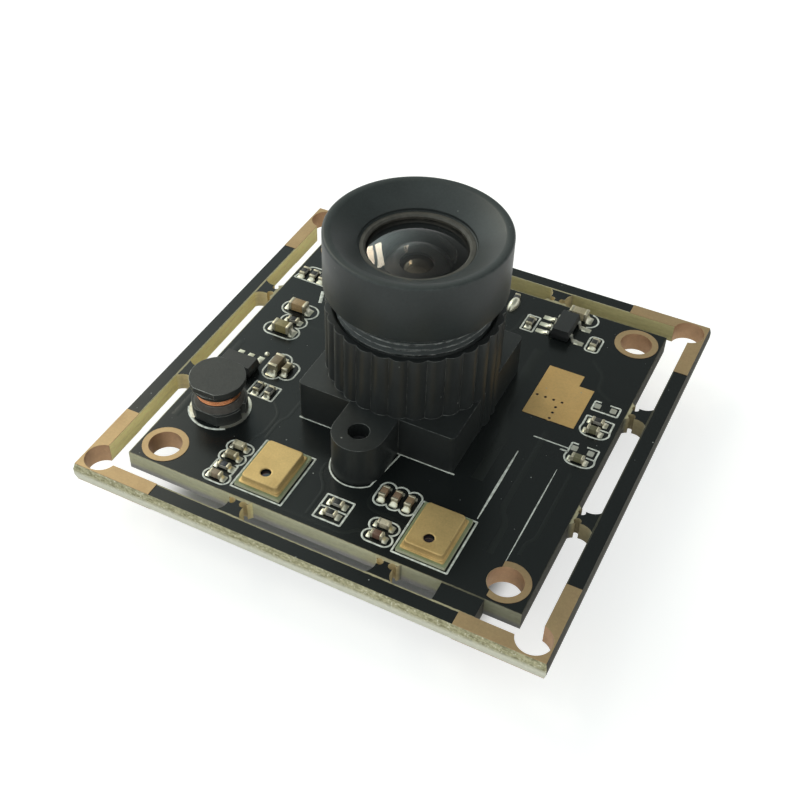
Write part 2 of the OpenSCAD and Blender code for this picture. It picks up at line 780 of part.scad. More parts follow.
module sensor_chip() {
    color("#4b5d57") translate([0, 0, tray_h - pocket_d]) block(chip_w, chip_l, chip_t, 0.05);
}

module sensor_cover() {
    color("#a9c4c6") translate([0, 0, tray_h]) block(cover_w, cover_w, cover_t, 0.1);
}

// Microphones
module mic_base(x) {
    color("#6f7d55") translate([x, near + mic_in, 0]) block(mic_w, mic_l, mic_base_t, 0.05);
}

module mic_can(x) {
    foot_w = mic_w - 2 * mic_foot;
    foot_l = mic_l - 2 * mic_foot;
    w = foot_w - 2 * mic_flange;
    l = foot_l - 2 * mic_flange;
    color("#c79c55") translate([x, near + mic_in, mic_base_t]) difference() {
        union() {
            block(foot_w, foot_l, mic_sheet, 0.1);
            block(w, l, mic_can_h - mic_can_step, mic_can_r);
            translate([0, 0, mic_can_h - mic_can_step])
                block(w - 0.1, l - 0.1, mic_can_step, mic_can_r - 0.05);
        }
        translate([0, 0, -eps])
            block(w - 2 * mic_sheet, l - 2 * mic_sheet, mic_can_h - mic_sheet, mic_can_r - mic_sheet);
        translate([0, -mic_port_y, 0]) cylinder(h = mic_can_h + 1, d = mic_port_d);
    }
}

module mic_chips() {
    color("#55606a") for (x = [mic_left_x, mic_right_x]) translate([x, near + mic_in, mic_base_t]) {
        translate([0, -0.9, 0]) block(1.3, 1.3, 0.35, 0.05);
        translate([0, 0.9, 0]) block(1, 1.1, 0.25, 0.05);
    }
}

// Power inductor: a ferrite drum on a foot with flats, wound with copper
module coil_outline() {
    intersection() {
        circle(d = coil_d);
        square([coil_d + 1, coil_flat], center = true);
        rotate(45) square(coil_slant, center = true);
    }
}

module inductor_core() {
    color("#2b2e30") translate([left + coil_in, coil_y, solder_t]) difference() {
        union() {
            linear_extrude(coil_foot_h) coil_outline();
            translate([0, 0, coil_foot_h - eps])
                cylinder(h = coil_cone_h + eps, r1 = coil_flat / 2 - 0.02, r2 = coil_wind_d / 2 + 0.1);
            cylinder(h = coil_h, d = coil_core_d);
            translate([0, 0, coil_h - coil_top_t]) linear_extrude(coil_top_t) coil_outline();
        }
        for (s = [-1, 1]) translate([s * coil_d / 2, 0, -1]) cylinder(h = coil_foot_h + 1, d = coil_notch_d);
    }
}

module inductor_winding() {
    color("#a8562c") translate([left + coil_in, coil_y, solder_t + coil_foot_h + coil_cone_h]) difference() {
        cylinder(h = coil_wind_h, d = coil_wind_d);
        translate([0, 0, -1]) cylinder(h = coil_h, d = coil_core_d);
    }
}

module inductor_terminals() {
    color("#b8ae93") translate([left + coil_in, coil_y, 0]) linear_extrude(solder_t) intersection() {
        circle(d = coil_d + 0.5);
        for (s = [-1, 1]) translate([s * 2, 0]) square([1.7, 4], center = true);
    }
}

// A chip package moulded round its leads: two tapers that meet at the leads' height
module package(l, w, h) {
    mid = h / 2;
    taper = mould_slope;
    intersection() {
        rotate([90, 0, 0]) linear_extrude(w, center = true) polygon([
            [-l / 2 + taper, body_gap], [l / 2 - taper, body_gap], [l / 2, mid], [l / 2 - taper, h],
            [-l / 2 + taper, h], [-l / 2, mid]
        ]);
        rotate([90, 0, 90]) linear_extrude(l, center = true) polygon([
            [-w / 2 + taper, body_gap], [w / 2 - taper, body_gap], [w / 2, mid], [w / 2 - taper, h],
            [-w / 2 + taper, h], [-w / 2, mid]
        ]);
    }
}

// A gull-wing lead that runs along +Y from a body's side at y0 to its tip at y1
module lead(y0, y1, mid, w) {
    heel = y1 - lead_foot;
    rotate([90, 0, 90]) linear_extrude(w, center = true) polygon([
        [y0, mid - lead_t / 2], [heel - lead_t, mid - lead_t / 2], [heel, 0], [y1, 0],
        [y1, lead_t], [heel + 0.03, lead_t], [heel - lead_t + 0.06, mid + lead_t / 2],
        [y0, mid + lead_t / 2]
    ]);
}

module regulator_body_at(place) {
    color("#202326") at(place) package(reg_l, reg_w, reg_h);
}

// Leads on the +Y side and on the -Y side of a body, by place in the row
module regulator_leads_at(place, up, down) {
    color("#c9c7bd") at(place) {
        for (i = up) translate([i * reg_pitch, 0, 0])
            lead(reg_w / 2, reg_span / 2, reg_h / 2, reg_lead_w);
        for (i = down) translate([i * reg_pitch, 0, 0]) rotate([0, 0, 180])
            lead(reg_w / 2, reg_span / 2, reg_h / 2, reg_lead_w);
    }
}

module step_up_body() {
    regulator_body_at([step_up[0], step_up[1], 0]);
}

module step_up_leads() {
    regulator_leads_at([step_up[0], step_up[1], 0], [-1, 0, 1], [-1, 0, 1]);
}

module regulator_body() {
    regulator_body_at([regulator[0], regulator[1], 90]);
}

module regulator_leads() {
    regulator_leads_at([regulator[0], regulator[1], 90], [-1, 0, 1], [-1, 1]);
}

// A two-ended chip part along X: its body, then its metal ends
module chip_body(l, w, h) {
    translate([0, 0, solder_t + h / 2 + end_proud]) bar(l - 2 * end_l, w, h, 0.04);
}

module chip_ends(l, w, h) {
    for (s = [-1, 1]) translate([s * (l - end_l) / 2, 0, solder_t + h / 2 + end_proud])
        bar(end_l, w + 2 * end_proud, h + 2 * end_proud, 0.06);
}

module capacitor_bodies() {
    color("#8d7a5e") {
        for (place = small_caps) at(place) chip_body(small_l, small_w, small_w);
        for (place = large_caps) at(place) chip_body(large_l, large_w, large_w);
    }
}

module capacitor_ends() {
    color("#cfcabb") {
        for (place = small_caps) at(place) chip_ends(small_l, small_w, small_w);
        for (place = large_caps) at(place) chip_ends(large_l, large_w, large_w);
    }
}

module resistor_bodies() {
    color("#2a2d30") for (place = resistors) at(place) chip_body(small_l, small_w, chip_res_h);
}

module resistor_ends() {
    color("#cfcabb") for (place = resistors) at(place) chip_ends(small_l, small_w, chip_res_h);
}

module bead_body() {
    color("#2f3133") at(bead) chip_body(bead_l, bead_w, bead_h);
}

module bead_ends() {
    color("#d8d4ca") at(bead) chip_ends(bead_l, bead_w, bead_h);
}

// Back of the board: controller, memory, crystal, socket and the parts round them
module controller_lead_row() {
    first = -(ctrl_leads - 1) / 2;
    for (turn = [0 : 90 : 270], i = [0 : ctrl_leads - 1]) rotate([0, 0, turn])
        translate([ctrl_w / 2 - ctrl_lead_l + 0.1, (first + i) * ctrl_pitch - ctrl_lead_w / 2, 0])
            cube([ctrl_lead_l, ctrl_lead_w, flat_lead_t]);
}

module controller_body() {
    color("#232628") on_back() difference() {
        translate([0, 0, 0.02]) block(ctrl_w, ctrl_w, ctrl_h, 0.1);
        controller_lead_row();
        translate([0, 0, -0.1]) controller_lead_row();
        translate([-1.5 - ctrl_w / 8, 1.5 + ctrl_w / 8, ctrl_h - 0.03]) cylinder(h = 1, d = 0.6);
    }
}

module controller_leads() {
    color("#c9c7bd") on_back() controller_lead_row();
}

module memory_body() {
    color("#222527") behind(memory_at) package(flash_l, flash_w, flash_h);
}

module memory_leads() {
    color("#c9c7bd") behind(memory_at)
        for (turn = [0, 180], i = [-1.5 : 1 : 1.5]) rotate([0, 0, turn])
            translate([i * 1.27, 0, 0]) lead(flash_w / 2, flash_span / 2, flash_h / 2, 0.42);
}

module crystal_can() {
    color("#b9bcbf") behind(xtal_at) translate([0, 0, xtal_foot_t]) {
        block(xtal_l + 0.7, xtal_w + 0.7, 0.35, (xtal_w + 0.7) / 2 - 0.05);
        translate([0, 0, 0.35 - eps])
            block(xtal_l, xtal_w, xtal_h - xtal_foot_t - 0.35 + eps, xtal_w / 2 - 0.05);
    }
}

module crystal_foot() {
    color("#1e2022") behind(xtal_at) difference() {
        block(xtal_l + 1, xtal_w + 1, xtal_foot_t, 0.3);
        for (s = [-1, 1]) translate([s * (xtal_l / 2 - 0.8) - 1.4, -0.35, -eps])
            cube([2.8, 0.7, flat_lead_t + eps]);
    }
}

module crystal_leads() {
    color("#c9c7bd") behind(xtal_at) for (s = [-1, 1])
        translate([s * (xtal_l / 2 - 0.8) - 1.4, -0.3, 0]) cube([2.8, 0.6, flat_lead_t]);
}

// Side-entry cable socket, its mouth towards the board's left edge
module cable_socket() {
    color("#d9d3c2") behind(sock_at) difference() {
        translate([-sock_w / 2, -sock_d / 2, 0.02]) cube([sock_w, sock_d, sock_h - 0.02]);
        translate([-sock_w / 2 + sock_wall, -sock_d / 2 - 1, sock_wall])
            cube([sock_w - 2 * sock_wall, sock_d + 1 - 1.2, sock_h - 2 * sock_wall]);
        for (s = [-1, 1])
            translate([s * (sock_w / 2 - sock_wall - 0.6) - 0.35, -sock_d / 2 - 1, sock_h - sock_wall - eps])
                cube([0.7, 2.6, sock_wall + 1]);
        for (i = [0 : sock_n - 1]) translate([(i - (sock_n - 1) / 2) * sock_pitch, 0, sock_h / 2])
            rotate([-90, 0, 0]) cylinder(h = sock_d, d = 0.44);
    }
}

module socket_contacts() {
    color("#c9a865") behind(sock_at)
        for (i = [0 : sock_n - 1]) translate([(i - (sock_n - 1) / 2) * sock_pitch, 0, 0]) {
            translate([0, -sock_d / 2 + 0.5, sock_h / 2]) rotate([-90, 0, 0])
                cylinder(h = sock_d - 0.1, d = 0.4);
            translate([-0.2, sock_d / 2 + 0.1, 0]) cube([0.4, 0.3, sock_h / 2]);
            translate([-0.2, sock_d / 2 + 0.1, 0]) cube([0.4, 1.1, flat_lead_t]);
        }
}

module socket_tabs() {
    color("#c9c7bd") behind(sock_at) for (s = [-1, 1])
        translate([s * (sock_w / 2 + 0.1) - 0.1, -1.1, 0]) {
            cube([0.2, 1.8, 1.6]);
            translate([s > 0 ? 0 : -0.7, 0, 0]) cube([0.9, 1.8, flat_lead_t]);
        }
}

module back_regulator_bodies() {
    for (place = back_regs) behind(place) regulator_body_at([0, 0, 0]);
}

module back_regulator_leads() {
    for (place = back_regs) behind(place) regulator_leads_at([0, 0, 0], [-1, 0, 1], [-1, 1]);
}

module back_capacitor_bodies() {
    color("#8d7a5e") for (place = back_caps) behind(place) chip_body(small_l, small_w, small_w);
}

module back_capacitor_ends() {
    color("#cfcabb") for (place = back_caps) behind(place) chip_ends(small_l, small_w, small_w);
}

module back_resistor_bodies() {
    color("#2a2d30") for (place = back_res) behind(place) chip_body(small_l, small_w, chip_res_h);
}

module back_resistor_ends() {
    color("#cfcabb") for (place = back_res) behind(place) chip_ends(small_l, small_w, chip_res_h);
}

main_board();
mount_hole_plating();
corner_plating();
gold_field();
bare_lands();
lens_holder();
holder_screws();
lens_barrel();
front_ring();
front_glass();
cell_ring();
second_glass();
aperture_stop();
crown_glass();
flint_glass();
lens_spacer();
rear_glass();
rear_ring();
infrared_filter();
sensor_tray();
sensor_chip();
sensor_cover();
mic_base(mic_left_x);  // mic_left_base
mic_can(mic_left_x);  // mic_left_can
mic_base(mic_right_x);  // mic_right_base
mic_can(mic_right_x);  // mic_right_can
mic_chips();
inductor_core();
inductor_winding();
inductor_terminals();
step_up_body();
step_up_leads();
regulator_body();
regulator_leads();
capacitor_bodies();
capacitor_ends();
resistor_bodies();
resistor_ends();
bead_body();
bead_ends();
controller_body();
controller_leads();
memory_body();
memory_leads();
crystal_can();
crystal_foot();
crystal_leads();
cable_socket();
socket_contacts();
socket_tabs();
back_regulator_bodies();
back_regulator_leads();
back_capacitor_bodies();
back_capacitor_ends();
back_resistor_bodies();
back_resistor_ends();
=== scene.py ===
"""Looks of a board camera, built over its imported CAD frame.

Sizes are in millimetres until a mesh is written, which is in metres. X runs to the right along the near edge,
Y away from it, and Z = 0 is the board's top face. Materials and the studio give their own lengths in metres.
"""

import logging
import math
from collections.abc import Callable, Sequence
from dataclasses import dataclass, field
from enum import Enum
from functools import cache

import bmesh
import bpy
import numpy as np
from mathutils import Matrix, Quaternion, Vector

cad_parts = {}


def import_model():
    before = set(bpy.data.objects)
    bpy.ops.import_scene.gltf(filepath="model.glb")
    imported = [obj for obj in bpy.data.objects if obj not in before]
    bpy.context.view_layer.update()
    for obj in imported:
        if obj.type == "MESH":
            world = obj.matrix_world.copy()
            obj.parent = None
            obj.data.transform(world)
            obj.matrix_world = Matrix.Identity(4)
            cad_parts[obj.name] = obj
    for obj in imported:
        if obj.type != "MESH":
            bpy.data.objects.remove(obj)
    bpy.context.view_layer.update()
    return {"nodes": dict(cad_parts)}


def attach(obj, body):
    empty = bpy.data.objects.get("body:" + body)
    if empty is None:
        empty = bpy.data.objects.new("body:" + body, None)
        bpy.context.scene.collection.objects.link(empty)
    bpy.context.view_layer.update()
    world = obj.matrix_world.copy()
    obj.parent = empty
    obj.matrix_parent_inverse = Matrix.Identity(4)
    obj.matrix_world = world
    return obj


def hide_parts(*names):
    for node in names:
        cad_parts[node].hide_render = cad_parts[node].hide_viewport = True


MM = 0.001
LOG = logging.getLogger("camera_module")
Colour = tuple[float, float, float]
Point = tuple[float, float]
Path = tuple[Point, ...]
Socket = bpy.types.NodeSocket

BLACK: Colour = (0.0, 0.0, 0.0)
WHITE: Colour = (1.0, 1.0, 1.0)
MIC_LEFT_X, MIC_RIGHT_X = -5.25, 7.99


class Body(str, Enum):
    """The CAD bodies that new pieces ride on."""

    MODULE = "module"
    BARREL = "barrel"


class Slot(str, Enum):
    """The record's material slots, by name."""

    BOARD = "board"
    TIN = "tin"
    LENS = "lens_metal"
    CERAMIC = "ceramic"
    MIC_GOLD = "mic_gold"
    FERRITE = "ferrite"
    COPPER = "copper"
    CAPACITOR = "capacitor_ceramic"
    RESISTOR = "resistor_ceramic"


# --------------------------------------------------------------------------- meshes


@dataclass
class Skin:
    """A mesh in the making.

    Attributes:
        points: One row per point, in millimetres.
        faces: Point numbers of each face.
        tone: One colour per point, linear red, green and blue.
    """

    points: np.ndarray
    faces: list[list[int]]
    tone: np.ndarray | None = None

    def moved(self, place: tuple[float, float, float] = (0, 0, 0), turn: float = 0.0) -> "Skin":
        """Returns the skin turned about Z by degrees and then moved.

        Args:
            place: How far it moves.
            turn: Angle about Z, in degrees.

        Returns:
            A new skin with the same faces.
        """
        c, s = math.cos(math.radians(turn)), math.sin(math.radians(turn))
        turned = self.points @ np.array([[c, s, 0], [-s, c, 0], [0, 0, 1]])
        return Skin(turned + np.array(place, float), self.faces, self.tone)

    def toned(self, colour: Colour) -> "Skin":
        """Returns the skin with one colour on all its points."""
        return Skin(self.points, self.faces, np.tile(np.array(colour, float), (len(self.points), 1)))

    def flipped_down(self, z: float) -> "Skin":
        """Returns the skin turned over about X, so that its own Z = 0 lies at height z and it hangs down."""
        points = self.points * np.array([1.0, -1.0, -1.0]) + np.array([0, 0, z])
        return Skin(points, self.faces, self.tone)


def joined(skins: list[Skin]) -> Skin:
    """Puts several skins in one.

    Args:
        skins: The skins, with or without tones.

    Returns:
        One skin. A skin without tones gets white where any other has them.
    """
    start = np.cumsum([0] + [len(s.points) for s in skins])
    faces = [[i + int(start[n]) for i in f] for n, s in enumerate(skins) for f in s.faces]
    tone = None
    if any(s.tone is not None for s in skins):
        tone = np.concatenate([np.ones((len(s.points), 3)) if s.tone is None else s.tone for s in skins])
    return Skin(np.concatenate([s.points for s in skins]), faces, tone)


def loft(loops: np.ndarray, wrap: bool = False) -> Skin:
    """Skins a stack of closed loops.

    Point m of loop k is joined by a quad to its neighbours in its own loop and in loop k + 1. An open stack gets
    one flat face at each end, and a wrapped one joins its last loop to its first.

    Args:
        loops: Array of loops, points and three coordinates.
        wrap: True joins the last loop to the first.

    Returns:
        A closed skin.
    """
    k, m, _ = loops.shape
    index = np.arange(k * m).reshape(k, m)
    rows = np.arange(k if wrap else k - 1)
    low, high = index[rows], index[(rows + 1) % k]
    quads = np.stack([low, np.roll(low, -1, 1), np.roll(high, -1, 1), high], -1).reshape(-1, 4)
    faces = quads.tolist()
    if not wrap:
        faces += [index[0][::-1].tolist(), index[-1].tolist()]
    return Skin(loops.reshape(-1, 3), faces)


def round_rect(w: float, l: float, r: float, arc: int = 6, along: int = 0) -> np.ndarray:
    """Outline of a rectangle with round corners, from its right side round to the left.

    Each corner is a quarter circle of radius r round the point r in from both sides.

    Args:
        w: Width along X.
        l: Length along Y.
        r: Corner radius.
        arc: Steps in each corner.
        along: Points added on each straight side.

    Returns:
        Rows of x and y, 4 * (arc + 1 + along) of them.
    """
    r = min(r, w / 2 - 1e-4, l / 2 - 1e-4)
    t = np.linspace(0, np.pi / 2, arc + 1)
    corners = []
    for n, (sx, sy) in enumerate(((1, 1), (-1, 1), (-1, -1), (1, -1))):
        a = t + n * np.pi / 2
        corners.append(np.stack([sx * (w / 2 - r) + r * np.cos(a), sy * (l / 2 - r) + r * np.sin(a)], -1))
    share = (np.arange(along) + 1)[:, None] / (along + 1)
    out = []
    for n, corner in enumerate(corners):
        after = corners[(n + 1) % 4][0]
        out += [corner, corner[-1] * (1 - share) + after * share]
    return np.concatenate(out)


def at_height(outline: np.ndarray, z: float) -> np.ndarray:
    """Lifts a flat outline to a height."""
    return np.column_stack([outline, np.full(len(outline), z)])


def bar(l: float, w: float, h: float, edge: float, z: float = 0.0) -> Skin:
    """A bar along X with all its edges rounded, its foot at height z.

    Its loops are rounded rectangles across X, drawn in towards both ends by the same edge radius.

    Args:
        l: Length along X.
        w: Width along Y.
        h: Height.
        edge: Edge radius.
        z: Height of its foot.

    Returns:
        A closed skin.
    """
    a = np.linspace(0, np.pi / 2, 4)
    along = np.concatenate([-l / 2 + edge * (1 - np.sin(a[::-1])), l / 2 - edge * (1 - np.sin(a))])
    inset = np.concatenate([edge * (1 - np.cos(a[::-1])), edge * (1 - np.cos(a))])
    loops = []
    for x, i in zip(along, inset):
        flat = round_rect(w - 2 * i, h - 2 * i, edge, 3)
        loops.append(np.column_stack([np.full(len(flat), x), flat[:, 0], flat[:, 1] + h / 2 + z]))
    return loft(np.stack(loops))


def rounded_path(corners: Sequence[tuple[float, ...]], closed: bool, radius: float = 0.0) -> np.ndarray:
    """Rounds the corners of a path.

    A corner of radius r becomes a curve from r before it to r after it, with the corner as the middle point of a
    quadratic curve: (1 - t)^2 A + 2 t (1 - t) P + t^2 B.

    Args:
        corners: Corner places as (x, y) or (x, y, radius).
        closed: True joins the last corner to the first.
        radius: Radius of the corners that give none.

    Returns:
        Rows of x and y.
    """
    places = np.array([c[:2] for c in corners], float)
    radii = [c[2] if len(c) > 2 else radius for c in corners]
    t = np.linspace(0, 1, 7)[:, None]
    out = []
    for n, (p, r) in enumerate(zip(places, radii)):
        before, after = places[n - 1] - p, places[(n + 1) % len(places)] - p
        end = not closed and n in (0, len(places) - 1)
        if end or r <= 0:
            out.append(p[None])
            continue
        reach_a = min(r, 0.49 * np.linalg.norm(before))
        reach_b = min(r, 0.49 * np.linalg.norm(after))
        a = p + before / np.linalg.norm(before) * reach_a
        b = p + after / np.linalg.norm(after) * reach_b
        out.append((1 - t) ** 2 * a + 2 * t * (1 - t) * p + t**2 * b)
    return np.concatenate(out)


def arc_path(cx: float, cy: float, r: float, start: float, end: float, steps: int = 24) -> np.ndarray:
    """Points on a circle of radius r round (cx, cy), from one angle to another in degrees."""
    t = np.radians(np.linspace(start, end, steps))
    return np.stack([cx + r * np.cos(t), cy + r * np.sin(t)], -1)


def circle(r: float, z: float, steps: int) -> np.ndarray:
    """Points on a circle of radius r round the Z axis, at height z."""
    t = np.linspace(0, 2 * np.pi, steps, endpoint=False)
    return at_height(np.stack([r * np.cos(t), r * np.sin(t)], -1), z)


def ribbon(
    path: np.ndarray, width: float | np.ndarray, height: float, closed: bool = False, slope: float = 0.0
) -> Skin:
    """A raised strip along a flat path.

    At each point the strip goes out to both sides along the path's normal by half its width, lengthened at a
    bend by 1 / cos(half the bend) so that its sides stay parallel. Its section is a low trapezium.

    Args:
        path: Rows of x and y.
        width: Width of the strip, or one width per point.
        height: Height of the strip.
        closed: True joins the strip's ends.
        slope: Run of its sloping sides. 0 takes the height.

    Returns:
        A closed skin.
    """
    keep = np.ones(len(path), bool)
    keep[1:] = np.linalg.norm(np.diff(path, axis=0), axis=1) > 1e-5
    path = path[keep]
    width = np.broadcast_to(width, keep.shape)[keep]
    if closed:
        before, after = path - np.roll(path, 1, 0), np.roll(path, -1, 0) - path
    else:
        step = np.diff(path, axis=0)
        before, after = np.vstack([step[:1], step]), np.vstack([step, step[-1:]])
    before = before / np.linalg.norm(before, axis=1, keepdims=True)
    after = after / np.linalg.norm(after, axis=1, keepdims=True)
    along = before + after
    along /= np.linalg.norm(along, axis=1, keepdims=True)
    normal = np.stack([-along[:, 1], along[:, 0]], -1)
    cosine = np.clip(np.sum(along * after, axis=1), 0.45, 1)
    half = (width / 2 / cosine)[:, None]
    top = half - np.minimum(half * 0.3, slope or height)
    rings = []
    for offset, level in ((-half, 0.0), (half, 0.0), (top, height), (-top, height)):
        rings.append(np.column_stack([path + normal * offset, np.full(len(path), level)]))
    loops = np.stack(rings, 1)
    return loft(loops[:, ::-1], wrap=closed)


def fillet_mound(w: float, run: float, h: float) -> Skin:
    """A solder fillet that climbs the face X = 0 from a land that runs to X = run.

    Its height is h (1 - x / run)^2.2 on the middle line, and falls to nothing at the sides as 1 - |2v|^3.

    Args:
        w: Width across Y.
        run: How far it reaches out along X.
        h: Height at the face.

    Returns:
        A closed skin.
    """
    u = np.linspace(0, 1, 7)
    v = np.linspace(-1, 1, 9)
    gu, gv = np.meshgrid(u, v, indexing="ij")
    x = run * gu
    spread = 1 - 0.12 * gu**3
    y = w / 2 * gv * spread
    lift = (1 - gu) ** 2.2 * (1 - np.abs(gv) ** 3) + 0.06
    top = np.stack([x, y, h * lift], -1).reshape(-1, 3)
    foot = np.stack([x, y, np.zeros_like(x)], -1).reshape(-1, 3)
    n, m = gu.shape
    index = np.arange(n * m).reshape(n, m)
    cells = np.stack([index[:-1, :-1], index[1:, :-1], index[1:, 1:], index[:-1, 1:]], -1).reshape(-1, 4)
    rim = np.concatenate([index[:-1, 0], index[-1, :-1], index[:0:-1, -1], index[0, :0:-1]])
    after = np.roll(rim, -1)
    walls = np.stack([rim + n * m, after + n * m, after, rim], -1)
    faces = cells.tolist() + (cells[:, ::-1] + n * m).tolist() + walls.tolist()
    return Skin(np.concatenate([top, foot]), faces)


def mound(rx: float, ry: float, h: float) -> Skin:
    """A round drop of solder: height h (1 - q^2.4)^0.6 over an ellipse, where q runs from 0 in the middle to 1.

    Args:
        rx: Half width along X.
        ry: Half length along Y.
        h: Height in the middle.

    Returns:
        A closed skin.
    """
    q = np.array([1.0, 0.985, 0.94, 0.86, 0.74, 0.58, 0.38, 0.16])
    t = np.linspace(0, 2 * np.pi, 20, endpoint=False)
    z = np.clip(h * (1 - q**2.4) ** 0.6, 0, None)
    x, y = rx * q[:, None] * np.cos(t), ry * q[:, None] * np.sin(t)
    return loft(np.stack([x, y, np.broadcast_to(z[:, None], x.shape)], -1))


def linked(name: str, data: bpy.types.ID) -> bpy.types.Object:
    """Makes an object of some data and puts it in the scene."""
    obj = bpy.data.objects.new(name, data)
    bpy.context.scene.collection.objects.link(obj)
    return obj


def write_piece(
    name: str,
    skin: Skin,
    finish: "Finish",
    body: Body,
    replaces: tuple[str, ...] = (),
    smooth: float = 40.0,
) -> bpy.types.Object:
    """Makes a Blender object from a skin and ties it to the frame.

    Args:
        name: The object's name.
        skin: The mesh, in millimetres.
        finish: What it is finished with.
        body: The CAD body it rides on.
        replaces: CAD nodes that it stands for.
        smooth: Edges sharper than this many degrees stay sharp.

    Returns:
        The new object.
    """
    mesh = bpy.data.meshes.new(name)
    mesh.from_pydata((skin.points * MM).tolist(), [], skin.faces)
    if skin.tone is not None:
        tone = mesh.attributes.new("tone", "FLOAT_COLOR", "POINT")
        opaque = np.column_stack([skin.tone, np.ones(len(skin.tone))])
        tone.data.foreach_set("color", opaque.ravel().astype(np.float32))
    solid = bmesh.new()
    solid.from_mesh(mesh)
    bmesh.ops.recalc_face_normals(solid, faces=solid.faces)
    solid.to_mesh(mesh)
    solid.free()
    mesh.shade_smooth()
    mesh.set_sharp_from_angle(angle=math.radians(smooth))
    mesh.validate()
    mesh.materials.append(finish.material())
    obj = linked(name, mesh)
    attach(obj, body.value)
    if replaces:
        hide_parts(*replaces)
    LOG.info("%s: %d faces, rides on %s", name, len(mesh.polygons), body.value)
    return obj


# --------------------------------------------------------------------------- shader nodes


class Nodes:
    """Short calls for wiring one node tree."""

    def __init__(self, tree: bpy.types.NodeTree) -> None:
        """Keeps the tree that the calls wire."""
        self.tree = tree

    def add(self, kind: str, **values: object) -> bpy.types.Node:
        """Adds a node.

        Args:
            kind: Its type, without the ShaderNode in front.
            **values: Node properties by name.

        Returns:
            The node.
        """
        node = self.tree.nodes.new("ShaderNode" + kind)
        for key, value in values.items():
            setattr(node, key, value)
        return node

    def feed(self, socket: Socket, value: object) -> None:
        """Links an output to a socket, or sets the socket's own value."""
        if isinstance(value, bpy.types.NodeSocket):
            self.tree.links.new(value, socket)
        elif isinstance(value, (tuple, list)) and len(socket.default_value) == 4 and len(value) == 3:
            socket.default_value = (*value, 1.0)
        else:
            socket.default_value = value

    def fill(self, node: bpy.types.Node, **values: object) -> None:
        """Feeds several inputs of a node by name, with _ for a space."""
        for key, value in values.items():
            self.feed(node.inputs[key.replace("_", " ")], value)

    def math(self, how: str, a: object, b: object = 0.0, clamp: bool = False) -> Socket:
        """Adds a Math node and returns its result."""
        node = self.add("Math", operation=how, use_clamp=clamp)
        self.feed(node.inputs[0], a)
        self.feed(node.inputs[1], b)
        return node.outputs[0]

    def times(self, a: object, b: object, clamp: bool = False) -> Socket:
        """Multiplies two values."""
        return self.math("MULTIPLY", a, b, clamp)

    def plus(self, a: object, b: object) -> Socket:
        """Adds two values."""
        return self.math("ADD", a, b)

    def less(self, a: object, b: object, clamp: bool = False) -> Socket:
        """Takes b away from a."""
        return self.math("SUBTRACT", a, b, clamp)

    def larger(self, a: object, b: object) -> Socket:
        """Takes the larger of two values."""
        return self.math("MAXIMUM", a, b)

    def size(self, value: object) -> Socket:
        """Drops a value's sign."""
        return self.math("ABSOLUTE", value)

    def step(self, value: object, low: float, high: float) -> Socket:
        """Runs smoothly from 0 at low to 1 at high."""
        node = self.add("MapRange", interpolation_type="SMOOTHSTEP")
        self.fill(node, Value=value, From_Min=low, From_Max=high)
        return node.outputs["Result"]

    def near(self, value: object, middle: float, far: float, close: float) -> Socket:
        """Runs smoothly from 0 at the distance far from the middle to 1 at the distance close."""
        return self.step(self.size(self.less(value, middle)), far, close)

    def span(self, value: object, low: float, high: float) -> Socket:
        """Stretches 0 to 1 over low to high."""
        node = self.add("MapRange")
        self.fill(node, Value=value, To_Min=low, To_Max=high)
        return node.outputs["Result"]

    def mix(self, share: object, a: object, b: object, how: str = "MIX") -> Socket:
        """Mixes two colours."""
        node = self.add("Mix", data_type="RGBA", blend_type=how)
        self.feed(node.inputs["Factor"], share)
        self.feed(node.inputs[6], a)
        self.feed(node.inputs[7], b)
        return node.outputs[2]

    def shade(self, colour: object, amount: Socket) -> Socket:
        """Multiplies a colour by an amount that changes over the surface."""
        grey = self.add("CombineColor")
        for socket in grey.inputs[:3]:
            self.feed(socket, amount)
        return self.mix(1.0, colour, grey.outputs[0], "MULTIPLY")

    def noise(self, place: Socket, scale: object, detail: float = 3.0, rough: float = 0.55) -> Socket:
        """Adds a noise texture and returns its factor."""
        node = self.add("TexNoise")
        self.fill(node, Vector=place, Scale=scale, Detail=detail, Roughness=rough)
        return node.outputs["Fac"]

    def scaled(self, place: Socket, factors: tuple[float, float, float]) -> Socket:
        """Multiplies a vector by three factors."""
        node = self.add("VectorMath", operation="MULTIPLY")
        self.feed(node.inputs[0], place)
        node.inputs[1].default_value = factors
        return node.outputs[0]

    def dot(self, a: Socket, b: object) -> Socket:
        """Multiplies two vectors into their scalar product."""
        node = self.add("VectorMath", operation="DOT_PRODUCT")
        self.feed(node.inputs[0], a)
        self.feed(node.inputs[1], b)
        return node.outputs["Value"]

    def split(self, vector: Socket) -> tuple[Socket, Socket, Socket]:
        """Splits a vector into its parts."""
        node = self.add("SeparateXYZ")
        self.feed(node.inputs[0], vector)
        return node.outputs[0], node.outputs[1], node.outputs[2]

    def normal(self) -> tuple[Socket, Socket, Socket]:
        """Returns the parts of the surface's own normal."""
        return self.split(self.add("NewGeometry").outputs["Normal"])

    def bump(self, height: object, strength: float, depth: float, normal: object = None) -> Socket:
        """Adds a Bump node. Depth is in millimetres."""
        node = self.add("Bump")
        self.fill(node, Height=height, Strength=strength, Distance=depth * MM)
        if normal is not None:
            self.feed(node.inputs["Normal"], normal)
        return node.outputs["Normal"]

    def use(self, group: bpy.types.NodeTree, **values: object) -> bpy.types.bpy_prop_collection:
        """Places a node group, feeds its inputs by name and returns its outputs."""
        node = self.add("Group")
        node.node_tree = group
        self.fill(node, **values)
        return node.outputs

